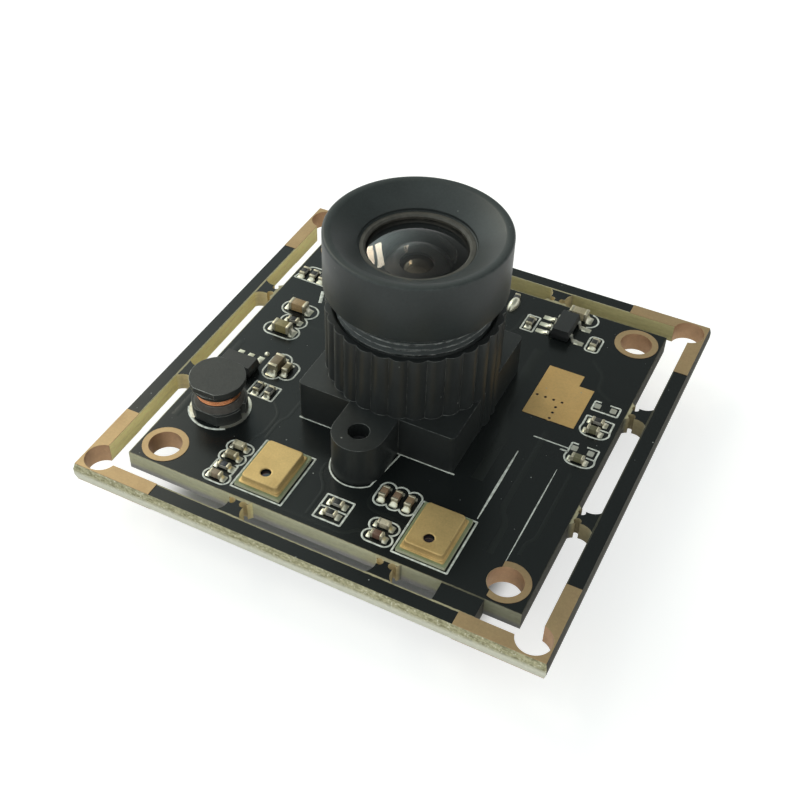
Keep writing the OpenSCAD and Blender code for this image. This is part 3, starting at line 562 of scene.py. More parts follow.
    def specks(self, place: Socket, scale: float, size: float, share: float) -> Socket:
        """Returns a mask of specks of dust."""
        return self.use(Effects.specks(), Vector=place, Scale=scale, Size=size, Share=share)["Mask"]

    def wear(
        self, place: Socket, radius: float, gain: float = 6.0, scale: float = 2500.0
    ) -> tuple[Socket, Socket]:
        """Returns a mask of edges, for wear and for painted highlights, and the normal rounded over them."""
        found = self.use(Effects.wear(), Vector=place, Radius=radius, Gain=gain, Scale=scale)
        return found["Mask"], found["Normal"]

    def grain(self, place: Socket, scale: float, depth: float) -> tuple[Socket, Socket]:
        """Returns the height of fine grain, and the shade that goes with it."""
        found = self.use(Effects.grain(), Vector=place, Scale=scale, Depth=depth)
        return found["Height"], found["Shade"]


class Effects:
    """Node groups that several finishes share. Each is built once, when it is first asked for."""

    @staticmethod
    def _start(name: str, inputs: tuple[str, ...], outputs: dict[str, str]) -> tuple[Nodes, list, list]:
        """Starts a group with named sockets.

        Args:
            name: The group's name.
            inputs: Names of the numbers that it takes, after its Vector.
            outputs: Socket type by output name.

        Returns:
            The wiring calls, the given values (the Vector first) and the sockets to feed, in order.
        """
        tree = bpy.data.node_groups.new(name, "ShaderNodeTree")
        tree.interface.new_socket(name="Vector", in_out="INPUT", socket_type="NodeSocketVector")
        for key in inputs:
            tree.interface.new_socket(name=key, in_out="INPUT", socket_type="NodeSocketFloat")
        for key, kind in outputs.items():
            tree.interface.new_socket(name=key, in_out="OUTPUT", socket_type="NodeSocket" + kind)
        given, result = tree.nodes.new("NodeGroupInput"), tree.nodes.new("NodeGroupOutput")
        return Nodes(tree), given.outputs[: len(inputs) + 1], result.inputs[: len(outputs)]

    @staticmethod
    @cache
    def specks() -> bpy.types.NodeTree:
        """Small bright specks of dust and grit.

        Each cell of a Voronoi texture holds one point. Where the cell's random number is under Share, the point
        shows as a speck of radius Size, in cells.
        """
        n, (place, scale, size, share), (mask,) = Effects._start(
            "specks", ("Scale", "Size", "Share"), {"Mask": "Float"})
        cell = n.add("TexVoronoi", feature="F1")
        n.fill(cell, Vector=place, Scale=scale)
        chosen = n.math("LESS_THAN", n.split(cell.outputs["Color"])[0], share)
        close = n.less(1.0, n.math("DIVIDE", cell.outputs["Distance"], size), clamp=True)
        n.feed(mask, n.times(chosen, n.step(close, 0.0, 0.5)))
        return n.tree

    @staticmethod
    @cache
    def wear() -> bpy.types.NodeTree:
        """A mask along edges, used for wear and, on the holder, the lens body and the ferrite, for painted
        highlights.

        The mask grows with the angle between the surface's own normal and one rounded over Radius, and noise of
        the given Scale breaks it up.
        """
        n, (place, radius, gain, scale), (mask, normal) = Effects._start(
            "wear", ("Radius", "Gain", "Scale"), {"Mask": "Float", "Normal": "Vector"})
        bevel = n.add("Bevel", samples=6)
        n.feed(bevel.inputs["Radius"], radius)
        soft = bevel.outputs["Normal"]
        edge = n.times(n.less(1.0, n.dot(soft, n.add("NewGeometry").outputs["Normal"])), gain, clamp=True)
        n.feed(mask, n.times(edge, n.step(n.noise(place, scale, 4, 0.5), 0.38, 0.62)))
        n.feed(normal, soft)
        return n.tree

    @staticmethod
    @cache
    def grain() -> bpy.types.NodeTree:
        """Fine grain: a Height for bumps, and a Shade that runs to both sides of 1 by three times Depth."""
        n, (place, scale, depth), (height, shade) = Effects._start(
            "grain", ("Scale", "Depth"), {"Height": "Float", "Shade": "Float"})
        fine = n.noise(place, scale, 5, 0.65)
        broad = n.noise(place, n.times(scale, 0.08), 3, 0.5)
        swing = n.times(n.less(n.plus(n.times(fine, 1.1), n.times(broad, 0.9)), 1.0), depth)
        n.feed(height, fine)
        n.feed(shade, n.plus(n.times(swing, 3.0), 1.0))
        return n.tree


@dataclass(frozen=True)
class Finish:
    """What a surface is finished with. A kind of finish fills in its shader in dress()."""

    name: str = "finish"

    def material(self) -> bpy.types.Material:
        """Returns the finish's material, which is built when it is first asked for."""
        found = bpy.data.materials.get(self.name)
        if found:
            return found
        made = bpy.data.materials.new(self.name)
        made.use_nodes = True
        n = Nodes(made.node_tree)
        self.dress(n, made.node_tree.nodes["Principled BSDF"], n.add("TexCoord").outputs["Object"])
        return made

    def dress(self, n: Nodes, shader: bpy.types.Node, place: Socket) -> None:
        """Wires the shader.

        Args:
            n: Calls for the material's tree.
            shader: Its Principled BSDF.
            place: Object coordinates, in metres.
        """
        raise NotImplementedError


@dataclass(frozen=True)
class BoardFinish(Finish):
    """Satin black solder mask on both faces, and glass-fibre laminate wherever the board was cut.

    Lengths are in metres: half is half the board's width, inner and outer are the edges of the frame round it, and
    tab_at is how far the tabs lie from the middle of each side. A pair says where an effect starts and is full.
    """

    name: str = "black_solder_mask"
    half: float = 0.016
    inner: float = 0.0177
    outer: float = 0.019
    tab_at: float = 0.00605
    bites: Point = (0.0017, 0.0012)
    bite_rim: Point = (0.00015, 0.0001)
    board_rim: Point = (0.00008, 0.00005)
    frame_rim: Point = (0.00009, 0.00006)
    edge_line_shade_x: Point = (0.003, 0.0165)
    frame_line_shade_x: Point = (0.0165, 0.017)
    low: Point = (-0.0009, -0.00145)
    near_wall_shade_x: Point = (0.003, 0.013)
    far_frame: Point = (0.0172, 0.0175)
    tab_along: Point = (0.00115, 0.0007)
    tab_out: Point = (0.01602, 0.01618)
    tab_shade_x: Point = (0.015, 0.016)
    scored: Point = (-0.0005, -0.001)
    mask: Colour = (0.0085, 0.0105, 0.0105)
    dust: Colour = (0.42, 0.44, 0.42)
    routed: Colour = (0.58, 0.56, 0.40)
    routed_low: Colour = (0.40, 0.38, 0.39)
    sunlit: Colour = (1.0, 0.86, 0.42)
    far_side: Colour = (0.50, 0.44, 0.22)
    shaded: Colour = (0.06, 0.055, 0.042)
    tab: Colour = (0.66, 0.52, 0.28)
    bare: Colour = (0.50, 0.45, 0.28)
    snapped: Colour = (0.56, 0.52, 0.33)
    snapped_dark: Colour = (0.24, 0.22, 0.12)
    snapped_low: Colour = (0.86, 0.84, 0.72)

    def pulled_back(self, n: Nodes, place: Socket, x: Socket, out: Socket, along: Socket) -> Socket:
        """Where the mask stops short of a cut, on a slightly ragged line. Towards the right the line fades out, as
        painted shade.

        Args:
            n: Calls for the material's tree.
            place: Object coordinates.
            x: Their X.
            out: Distance from the middle, towards the nearer side of the board.
            along: Distance from the middle, along that side.

        Returns:
            1 where the laminate lies bare.
        """
        ragged = n.plus(out, n.span(n.noise(place, 2600, 3), -0.00004, 0.00004))
        at_tab = n.near(along, self.tab_at, *self.bites)
        over_bites = n.times(at_tab, n.near(ragged, self.half + 0.00012, *self.bite_rim))
        at_edge = n.near(ragged, self.half + 0.00001, *self.board_rim)
        # Painted shade: the pale line along the board edge fades towards the right, and the one along the frame
        # fades on the right-hand frame.
        at_edge = n.times(at_edge, n.span(n.step(x, *self.edge_line_shade_x), 0.8, 0.1))
        at_frame = n.near(ragged, self.inner + 0.00002, *self.frame_rim)
        at_frame = n.times(at_frame, n.span(n.step(x, *self.frame_line_shade_x), 1.0, 0.12))
        return n.larger(n.larger(at_edge, over_bites), at_frame)

    def walls(self, n: Nodes, place: Socket, out: Socket, along: Socket) -> Socket:
        """Colour of the routed walls, told apart by the way they face, with light and shade painted in: the
        left-hand walls that face right are painted sunlit, the right-hand ones shaded, and the near-facing walls
        on the right and the right-hand tab walls darker.

        Args:
            n: Calls for the material's tree.
            place: Object coordinates.
            out: Distance from the middle, towards the nearer side of the board.
            along: Distance from the middle, along that side.

        Returns:
            The colour.
        """
        x, y, z = n.split(place)
        nx, ny, _ = n.normal()
        faces_right, faces_near = n.step(nx, 0.4, 0.9), n.step(ny, -0.4, -0.9)
        wall = n.mix(n.step(z, *self.low), self.routed, self.routed_low)
        # Painted shade: walls that face the near side are darker to the right.
        wall = n.shade(wall, n.span(n.times(faces_near, n.step(x, *self.near_wall_shade_x)), 1.0, 0.5))
        wall = n.mix(n.times(faces_right, n.step(x, 0.0, -0.001)), wall, self.sunlit)
        wall = n.mix(n.times(faces_near, n.step(y, *self.far_frame)), wall, self.far_side)
        wall = n.mix(n.times(faces_right, n.step(x, 0.0, 0.001)), wall, self.shaded)
        near_tab = n.times(n.near(along, self.tab_at, *self.tab_along), n.step(out, *self.tab_out))
        # Painted shade: the right-hand tab's walls are darker.
        tab = n.shade(self.tab, n.span(n.step(x, *self.tab_shade_x), 1.0, 0.5))
        wall = n.mix(n.times(near_tab, 0.85), wall, tab)
        strand = n.noise(n.scaled(place, (0.35, 0.35, 2.6)), 1500, 4, 0.6)
        return n.shade(wall, n.span(strand, 0.75, 1.25))

    def broken(self, n: Nodes, place: Socket, torn: Socket, spark: Socket) -> Socket:
        """Colour of the outer edge, where the frame was scored and snapped off its panel. Its faces that look
        right take the shaded wall colour, as painted shade.

        Args:
            n: Calls for the material's tree.
            place: Object coordinates.
            torn: Noise of the torn fibres.
            spark: Finer noise, whose peaks are single bright fibres.

        Returns:
            The colour.
        """
        ripped = n.mix(n.step(torn, 0.38, 0.62), self.snapped_dark, self.snapped)
        ripped = n.mix(n.times(n.step(spark, 0.6, 0.68), 0.6), ripped, self.snapped_low)
        low = n.step(n.split(place)[2], *self.scored)
        ripped = n.mix(n.times(low, 0.85), ripped, self.snapped_low)
        # Painted shade: the outer faces that look right are drawn dark.
        return n.mix(n.step(n.normal()[0], 0.5, 0.8), ripped, n.shade(self.shaded, n.span(torn, 0.4, 1.6)))

    def dress(self, n: Nodes, shader: bpy.types.Node, place: Socket) -> None:
        """Wires mask and laminate, told apart by how upright the surface is."""
        x, y, _ = n.split(place)
        ax, ay = n.size(x), n.size(y)
        out, along = n.larger(ax, ay), n.math("MINIMUM", ax, ay)
        flat = n.step(n.size(n.normal()[2]), 0.82, 0.9)
        hazy = n.noise(place, 320, 4)
        fine = n.noise(n.scaled(place, (1.0, 1.0, 1.6)), 3200, 3)
        dirt = n.larger(n.specks(place, 760.0, 0.055, 0.6), n.times(n.specks(place, 1500.0, 0.07, 0.28), 0.5))
        bared = self.pulled_back(n, place, x, out, along)
        mask = n.shade(self.mask, n.span(n.noise(place, 55, 3), 0.75, 1.3))
        mask = n.mix(n.times(dirt, 0.7), mask, self.dust)
        mask = n.mix(n.times(bared, 0.8), mask, n.shade(self.bare, n.span(fine, 0.6, 1.4)))

        fibre = n.noise(n.scaled(place, (0.45, 0.45, 1.5)), 3400, 5, 0.7)
        spark = n.noise(place, 5200, 3)
        torn = n.plus(n.times(fibre, 0.7), n.times(spark, 0.35))
        at_outside = n.step(out, self.outer - 0.00024, self.outer - 0.00017)
        wall = n.mix(at_outside, self.walls(n, place, out, along), self.broken(n, place, torn, spark))
        wall = n.shade(wall, n.span(fine, 0.85, 1.15))

        n.feed(shader.inputs["Base Color"], n.mix(flat, wall, mask))
        smooth = n.times(flat, n.less(1.0, bared))
        gloss = n.plus(n.span(hazy, 0.2, 0.3), n.times(dirt, 0.4))
        n.fill(
            shader, Roughness=n.plus(n.times(smooth, gloss), n.times(n.less(1.0, smooth), 0.75)),
            Specular_IOR_Level=0.42)
        relief = n.times(n.less(1.0, flat), n.plus(torn, fine))
        soft = n.wear(place, 0.00003)[1]
        n.feed(shader.inputs["Normal"], n.bump(n.plus(relief, n.times(hazy, 0.02)), 0.6, 0.06, soft))


@dataclass(frozen=True)
class MaskOverCopper(Finish):
    """Solder mask where it lies over a copper track, a little higher and smoother than beside it."""

    name: str = "mask_over_copper"
    colour: Colour = (0.013, 0.0155, 0.0145)

    def dress(self, n: Nodes, shader: bpy.types.Node, place: Socket) -> None:
        """Wires a slightly lighter mask."""
        n.fill(
            shader, Base_Color=n.shade(self.colour, n.span(n.noise(place, 70, 3), 0.75, 1.3)),
            Roughness=n.span(n.noise(place, 320, 4), 0.2, 0.3), Specular_IOR_Level=0.42)


@dataclass(frozen=True)
class GoldFinish(Finish):
    """Immersion gold over copper: dull, a little uneven, redder where it is thin, and brown on upright walls."""

    name: str = "immersion_gold"
    colour: Colour = (0.7, 0.47, 0.2)
    thin: Colour = (0.63, 0.41, 0.16)
    wall_dark: Colour = (0.34, 0.21, 0.12)
    wall_light: Colour = (0.56, 0.36, 0.21)
    dirt: Colour = (0.5, 0.42, 0.3)
    rough: float = 0.56

    def dress(self, n: Nodes, shader: bpy.types.Node, place: Socket) -> None:
        """Wires gold with cloudy thin patches and fine grain."""
        cloud = n.noise(place, 260, 4)
        height, grain = n.grain(place, 5200.0, 0.1)
        wall = n.step(n.size(n.normal()[2]), 0.7, 0.3)
        colour = n.mix(n.times(n.step(cloud, 0.45, 0.72), 0.45), self.colour, self.thin)
        colour = n.mix(wall, colour, n.mix(n.noise(place, 900, 4), self.wall_dark, self.wall_light))
        colour = n.mix(n.specks(place, 1500.0, 0.14, 0.08), n.shade(colour, grain), self.dirt)
        n.fill(
            shader, Base_Color=colour, Metallic=0.8,
            Roughness=n.span(cloud, self.rough - 0.08, self.rough + 0.08),
            Normal=n.bump(height, 0.25, 0.01, n.wear(place, 0.00003)[1]))


@dataclass(frozen=True)
class TinFinish(Finish):
    """Solder and tinned metal: bright, softly lumpy, yellowed by flux in places."""

    name: str = "solder_tin"
    colour: Colour = (0.8, 0.78, 0.64)
    flux: Colour = (0.5, 0.44, 0.27)
    rough: float = 0.3
    lumps: float = 2400.0

    def dress(self, n: Nodes, shader: bpy.types.Node, place: Socket) -> None:
        """Wires lumpy metal with flux stains."""
        lump = n.noise(place, self.lumps, 3)
        stain = n.step(n.noise(place, 1300, 3), 0.5, 0.7)
        n.fill(
            shader, Base_Color=n.mix(n.times(stain, 0.5), self.colour, self.flux), Metallic=0.85,
            Roughness=n.span(lump, self.rough - 0.06, self.rough + 0.14), Normal=n.bump(lump, 0.6, 0.03))


@dataclass(frozen=True)
class PlasticFinish(Finish):
    """Moulded or machined black material with fine grain, paler on its edges, with dust on it.

    Edges nearer to the Z axis than dark_inside, in metres, stay dark, and faces that look up are painted lighter,
    top_light_gain times as bright as the rest. A pale edge colour is partly wear and partly a painted highlight.
    """

    name: str = "moulded_black"
    colour: Colour = (0.02, 0.0225, 0.0225)
    edge: Colour = (0.2, 0.21, 0.2)
    dirt: Colour = (0.4, 0.41, 0.38)
    rough: float = 0.4
    grain: float = 3600.0
    grain_depth: float = 0.012
    edge_radius: float = 0.00006
    edge_gain: float = 2.0
    dust: float = 0.16
    specular: float = 0.5
    dark_inside: float = 0.0
    top_light_gain: float = 1.0

    def dress(self, n: Nodes, shader: bpy.types.Node, place: Socket) -> None:
        """Wires grain, edges and dust."""
        height, grain = n.grain(place, self.grain, 0.18)
        worn, soft = n.wear(place, self.edge_radius, self.edge_gain, 1800.0)
        dust = n.specks(place, 1100.0, 0.1, self.dust)
        up = n.step(n.normal()[2], 0.2, 0.6)
        # Painted light: faces that look up are drawn brighter.
        colour = n.shade(self.colour, n.times(grain, n.span(up, 1.0, self.top_light_gain)))
        if self.dark_inside:
            x, y, _ = n.split(place)
            away = n.math("SQRT", n.plus(n.times(x, x), n.times(y, y)))
            worn = n.times(worn, n.step(away, self.dark_inside - 0.0001, self.dark_inside))
        # Pale edges are partly wear and partly a painted highlight.
        colour = n.mix(n.times(dust, 0.7), n.mix(worn, colour, self.edge), self.dirt)
        n.fill(
            shader, Base_Color=colour,
            Roughness=n.span(n.noise(place, 600, 4), self.rough - 0.06, self.rough + 0.08),
            Specular_IOR_Level=self.specular, Normal=n.bump(height, 0.35, self.grain_depth, soft))


@dataclass(frozen=True)
class InkFinish(Finish):
    """White printed ink, thin at the edges of its strokes."""

    name: str = "white_ink"
    colour: Colour = (0.8, 0.82, 0.76)
    thin: Colour = (0.5, 0.52, 0.47)

    def dress(self, n: Nodes, shader: bpy.types.Node, place: Socket) -> None:
        """Wires patchy ink."""
        full = n.step(n.noise(place, 2600, 4), 0.36, 0.62)
        n.fill(
            shader, Base_Color=n.mix(full, self.thin, self.colour), Roughness=0.5,
            Normal=n.bump(full, 0.4, 0.008))


@dataclass(frozen=True)
class TonedFinish(Finish):
    """Fired ceramic whose colour is written on its points, with mottling and darker pores."""

    name: str = "fired_ceramic"
    pore: Colour = (0.04, 0.03, 0.02)
    rough: float = 0.42

    def dress(self, n: Nodes, shader: bpy.types.Node, place: Socket) -> None:
        """Wires the points' own colour with mottling."""
        tone = n.add("Attribute", attribute_name="tone").outputs["Color"]
        height, grain = n.grain(place, 5200.0, 0.28)
        pores = n.times(n.specks(place, 7000.0, 0.3, 0.18), 0.3)
        n.fill(
            shader, Base_Color=n.mix(pores, n.shade(tone, grain), self.pore),
            Roughness=n.span(n.noise(place, 3000, 3), self.rough - 0.08, self.rough + 0.1),
            Normal=n.bump(height, 0.3, 0.012))


@dataclass(frozen=True)
class MicGoldFinish(Finish):
    """Satin gold of the microphone cans, drawn and tumbled, with a dull bloom."""

    name: str = "satin_gold_can"
    colour: Colour = (0.64, 0.46, 0.2)
    bloom: Colour = (0.57, 0.39, 0.16)
    dirt: Colour = (0.3, 0.22, 0.12)

    def dress(self, n: Nodes, shader: bpy.types.Node, place: Socket) -> None:
        """Wires satin gold."""
        cloud = n.noise(place, 420, 4)
        height, grain = n.grain(place, 6500.0, 0.14)
        dirt = n.times(n.specks(place, 1700.0, 0.12, 0.1), 0.7)
        colour = n.shade(n.mix(n.step(cloud, 0.5, 0.75), self.colour, self.bloom), grain)
        n.fill(
            shader, Base_Color=n.mix(dirt, colour, self.dirt), Metallic=0.65,
            Roughness=n.span(cloud, 0.44, 0.54), Normal=n.bump(height, 0.3, 0.01))


@dataclass(frozen=True)
class LaminateFinish(Finish):
    """Green laminate of the microphones' bases, pale where it was cut."""

    name: str = "green_laminate"
    top: tuple[Colour, Colour] = ((0.16, 0.2, 0.1), (0.3, 0.33, 0.2))
    side: tuple[Colour, Colour] = ((0.34, 0.34, 0.22), (0.58, 0.58, 0.42))

    def dress(self, n: Nodes, shader: bpy.types.Node, place: Socket) -> None:
        """Wires green mask on top and pale laminate on the sides."""
        strand = n.noise(n.scaled(place, (1, 1, 6)), 1600, 3)
        top = n.mix(n.noise(place, 1500, 3), *self.top)
        side = n.mix(strand, *self.side)
        n.fill(
            shader, Base_Color=n.mix(n.step(n.normal()[2], 0.6, 0.9), side, top), Roughness=0.45,
            Normal=n.bump(strand, 0.4, 0.02))


@dataclass(frozen=True)
class FerriteFinish(Finish):
    """Sintered ferrite: dark grey, finely pitted, lighter and browner on the drum's conical shoulder as painted
    light, with pale edges that are partly chipped and, on the left of the top rim, a painted highlight.
    """

    name: str = "sintered_ferrite"
    colour: Colour = (0.024, 0.027, 0.026)
    lit_cone_tone: Colour = (0.1, 0.092, 0.084)
    chip: Colour = (0.62, 0.64, 0.6)
    pit: Colour = (0.012, 0.012, 0.012)

    def dress(self, n: Nodes, shader: bpy.types.Node, place: Socket) -> None:
        """Wires pits, clouds, the painted light on the conical shoulder, and pale edges: chipped, with a painted
        highlight on the top rim's left side.
        """
        x, y, z = n.split(place)
        height, grain = n.grain(place, 3800.0, 0.3)
        worn, soft = n.wear(place, 0.00008, 9.0, 1100.0)
        pits = n.times(n.specks(place, 5000.0, 0.3, 0.2), 0.5)
        # Painted highlight: the pale edge colour is strongest along the left side of the top rim.
        left_rim_glint = n.step(n.plus(x, n.times(y, 0.6)), -0.0172, -0.0184)
        rim = n.times(n.step(z, 0.0025, 0.0027), left_rim_glint)
        # Painted light: the drum's conical shoulder is drawn lighter, and browner.
        on_cone = n.times(n.step(z, 0.00104, 0.0011), n.step(z, 0.0018, 0.00176))
        colour = n.shade(n.mix(on_cone, self.colour, self.lit_cone_tone), grain)
        # Pale edges: chipped all round, and a painted highlight on the top rim's left side.
        colour = n.mix(n.times(worn, n.plus(n.times(rim, 0.7), 0.3)), colour, self.chip)
        n.fill(
            shader, Base_Color=n.mix(pits, colour, self.pit),
            Roughness=n.span(n.noise(place, 1200, 3), 0.42, 0.6),
            Normal=n.bump(n.less(height, pits), 0.5, 0.03, soft))


@dataclass(frozen=True)
class CopperFinish(Finish):
    """Enamelled copper wire: clear varnish over orange metal."""

    name: str = "enamelled_copper"
    dark: Colour = (0.5, 0.15, 0.05)
    light: Colour = (0.78, 0.34, 0.14)

    def dress(self, n: Nodes, shader: bpy.types.Node, place: Socket) -> None:
        """Wires metal under a clear coat."""
        tint = n.noise(place, 900, 3)
        n.fill(
            shader, Base_Color=n.mix(tint, self.dark, self.light), Metallic=0.9,
            Roughness=n.span(tint, 0.2, 0.34), Coat_Weight=0.8, Coat_Roughness=0.14)


@dataclass(frozen=True)
class GlassFinish(Finish):
    """Polished glass with a slightly uneven tint. Above front_z, in metres, it has a glossy coat."""

    name: str = "polished_glass"
    colour: Colour = (0.92, 0.96, 0.95)
    coating: Colour = WHITE
    specular: float = 0.5
    rough: float = 0.03
    clear: float = 1.0
    front_z: float = 0.0

    def dress(self, n: Nodes, shader: bpy.types.Node, place: Socket) -> None:
        """Wires clear glass."""
        n.fill(
            shader, Base_Color=n.shade(self.colour, n.span(n.noise(place, 200, 2), 0.96, 1.0)),
            Roughness=self.rough, Transmission_Weight=self.clear, IOR=1.52, Specular_IOR_Level=self.specular,
            Specular_Tint=self.coating)
        if self.front_z:
            n.fill(
                shader, Coat_Weight=n.step(n.split(place)[2], self.front_z - 0.00008, self.front_z),
                Coat_Roughness=self.rough)


@dataclass(frozen=True)
class PlainWornFinish(Finish):
    """A simple coated or moulded surface with grain and soft edges, for pieces seen small or from behind."""

    name: str = "plain"
    colour: Colour = (0.5, 0.5, 0.5)
    second: Colour = (0.4, 0.4, 0.4)
    rough: float = 0.4
    metallic: float = 0.0
    scale: float = 1500.0

    def dress(self, n: Nodes, shader: bpy.types.Node, place: Socket) -> None:
        """Wires two tones, grain and softened edges."""
        blot = n.noise(place, self.scale, 4)
        height, grain = n.grain(place, self.scale * 3, 0.12)
        n.fill(
            shader, Base_Color=n.shade(n.mix(n.step(blot, 0.42, 0.68), self.colour, self.second), grain),
            Metallic=self.metallic, Roughness=n.span(blot, self.rough - 0.06, self.rough + 0.08),
            Normal=n.bump(height, 0.3, 0.012, n.wear(place, 0.00004)[1]))


# --------------------------------------------------------------------------- sub-assemblies


@dataclass
class LensBody:
    """The turned lens body: a head with a conical hood, and the thread under it.

    Its sizes repeat the CAD node's, and the thread's turns and the worn round edges are added inside them.
    """

    thread_r: float = 6.0
    pitch: float = 0.5
    thread_depth: float = 0.27
    tail_z: float = 4.2
    chamfer: float = 0.3
    run_out: float = 0.25
    bevel: float = 0.05
    ease: float = 0.04
    head_z: float = 11.1
    rim_z: float = 15.85
    head_r: float = 6.9
    rim_w: float = 0.7
    edge: float = 0.18
    hood_d: float = 1.15
    foot_r: float = 4.36
    relief_h: float = 0.45
    relief_d: float = 0.35
    ring_top_z: float = 14.45
    front_r: float = 4.22
    front_foot_z: float = 12.9
    second_r: float = 2.62
    second_foot_z: float = 10.9
    lip_r: float = 2.2
    stop_top_z: float = 10.5
    rear_r: float = 4.12
    # Its pale edges are partly wear and partly a painted highlight, and its up-facing faces are painted lighter.
    finish: Finish = field(default_factory=lambda: PlasticFinish(
        name="black_anodised", colour=(0.022, 0.027, 0.027), edge=(0.42, 0.44, 0.42), rough=0.42, grain=5200.0,
        grain_depth=0.008, edge_radius=0.00012, edge_gain=7.0, dust=0.2, specular=0.4, dark_inside=0.0046,
        top_light_gain=1.35))

    def profile(self) -> tuple[np.ndarray, np.ndarray]:
        """Works out the closed profile and where it is threaded.

        Returns:
            Rows of radius and height, and one thread weight per row: 0 plain, 1 full thread.
        """
        e, rim, head, wide = self.edge, self.rim_z, self.head_z, self.head_r
        top, neck = head - self.relief_h, self.thread_r - self.relief_d
        mouth, hood_foot, well = wide - self.rim_w, rim - self.hood_d, self.foot_r - 0.02
        thread_z = np.arange(self.tail_z + self.chamfer, top - 1e-6, self.pitch / 8)
        plain = [(self.rear_r + self.bevel, self.tail_z), (self.thread_r - self.chamfer, self.tail_z)]
        thread = [(self.thread_r, z) for z in thread_z]
        ease, bevel = self.ease, self.bevel
        under_head = [(self.thread_r, top), (neck, top + ease), (neck, head - ease), (neck + ease, head)]
        outside = [(wide - e, head), (wide - bevel, head + bevel), (wide, head + e)]
        turns = np.linspace(math.pi / 2, 0, 6)
        outside += [(wide - e + e * math.sin(a), rim - e + e * math.cos(a)) for a in turns]
        inside = [
            (mouth + bevel, rim), (mouth, rim - 0.03), (self.foot_r, hood_foot), (well, hood_foot - 0.03),
            (well, self.ring_top_z), (self.front_r, self.ring_top_z), (self.front_r, self.front_foot_z),
            (self.second_r, self.front_foot_z), (self.second_r, self.second_foot_z),
            (self.lip_r, self.second_foot_z), (self.lip_r, self.stop_top_z), (self.rear_r, self.stop_top_z),
            (self.rear_r, self.tail_z),
        ]
        rows = np.array(plain + thread + under_head + outside + inside, float)
        number = np.arange(len(rows)) - len(plain)
        threaded = (number >= 0) & (number < len(thread))
        run_in = np.clip((rows[:, 1] - self.tail_z - self.chamfer) / self.chamfer, 0, 1)
        run_out = np.clip((top - rows[:, 1]) / self.run_out, 0, 1)
        return rows, np.where(threaded, run_in * run_out, 0.0)

    def skin(self, steps: int = 176) -> Skin:
        """Turns the profile, with the thread cut into it.

        On the thread the radius at height z and angle t is R - depth * |2 frac(z / pitch - t / 2 pi) - 1|, so the
        crest climbs one pitch each turn, right-handed.

        Args:
            steps: Number of steps round the axis.

        Returns:
            A closed skin.
        """
        rows, weight = self.profile()
        t = np.linspace(0, 2 * np.pi, steps, endpoint=False)
        phase = rows[:, 1:] / self.pitch - t[None] / (2 * np.pi)
        tooth = np.abs(2 * (phase - np.floor(phase)) - 1)
        r = rows[:, :1] - self.thread_depth * weight[:, None] * tooth
        z = np.broadcast_to(rows[:, 1:], r.shape)
        return loft(np.stack([r * np.cos(t), r * np.sin(t), z], -1), wrap=True)

    def build(self) -> None:
        """Writes the lens body in place of its CAD node."""
        write_piece(
            "lens_body_turned", self.skin(), self.finish, Body.BARREL, ("lens_barrel",), smooth=32)


@dataclass
class Microphone:
    """One top-port microphone: a drawn gold can with a sound port.

    The can has a flange round its foot, a wall of sheet metal folded over at the top, and the port in its roof.
    """

    side: str
    x: float
    y: float = -12.64
    base_h: float = 0.28
    w: float = 3.4
    l: float = 4.5
    flange: float = 0.16
    sheet: float = 0.1
    h: float = 0.65
    corner: float = 0.3
    fold: float = 0.1
    port_r: float = 0.4
    port_y: float = -1.0
    finish: Finish = field(default_factory=MicGoldFinish)

    def skin(self) -> Skin:
        """Works out the can as one wrapped stack of loops.

        The loops go up the outside, round the fold, in over the top to the port, down through it and back along
        the inside. Loops at the port are circles whose points lie in the directions of the outline's points.

        Returns:
            A closed skin, in place.
        """
        w, l, sheet, h = self.w, self.l, self.sheet, self.h
        bw, bl = w - 2 * self.flange, l - 2 * self.flange

        def rect(w: float, l: float, r: float, z: float) -> np.ndarray:
            """A rounded rectangle at a height."""
            return at_height(round_rect(w, l, r, 6, 14), z)

        def port(wider: float, z: float) -> np.ndarray:
            """The port's circle, a little wider, at a height."""
            middle = np.array([0, self.port_y])
            way = round_rect(bw, bl, self.corner, 6, 14) - middle
            way = way / np.linalg.norm(way, axis=1, keepdims=True)
            return at_height(way * (self.port_r + wider) + middle, z)

        loops = [
            rect(w, l, 0.16, 0.0), rect(w, l, 0.16, 0.06), rect(w - 0.05, l - 0.05, 0.14, sheet - 0.01),
            rect(w - 0.1, l - 0.1, 0.12, sheet), rect(bw + 0.1, bl + 0.1, self.corner + 0.05, sheet),
            rect(bw + 0.02, bl + 0.02, self.corner, sheet + 0.05),
        ]
        for a in np.linspace(0, np.pi / 2, 6):
            inset, drop = self.fold * (1 - math.cos(a)) + 0.02, self.fold * (1 - math.sin(a))
            loops.append(rect(bw - 2 * inset, bl - 2 * inset, self.corner - inset * 0.5, h - drop))
        flat = 2 * (self.fold + 0.05)
        loops += [rect(bw - flat, bl - flat, self.corner - 0.08, h), port(0.12, h), port(0.05, h)]
        loops += [port(0.01, h - 0.02), port(0.0, h - 0.05), port(0.0, h - sheet)]
        iw, il, roof = bw - 2 * sheet, bl - 2 * sheet, h - sheet
        loops += [rect(iw - 0.1, il - 0.1, 0.2, roof), rect(iw, il, 0.25, roof - 0.08), rect(iw, il, 0.25, 0.0)]
        return loft(np.stack(loops), wrap=True).moved((self.x, self.y, self.base_h))

    def build(self) -> None:
        """Writes the can in place of its CAD node."""
        name = f"mic_{self.side}_can"
        write_piece(name + "_drawn", self.skin(), self.finish, Body.MODULE, (name,), smooth=35)


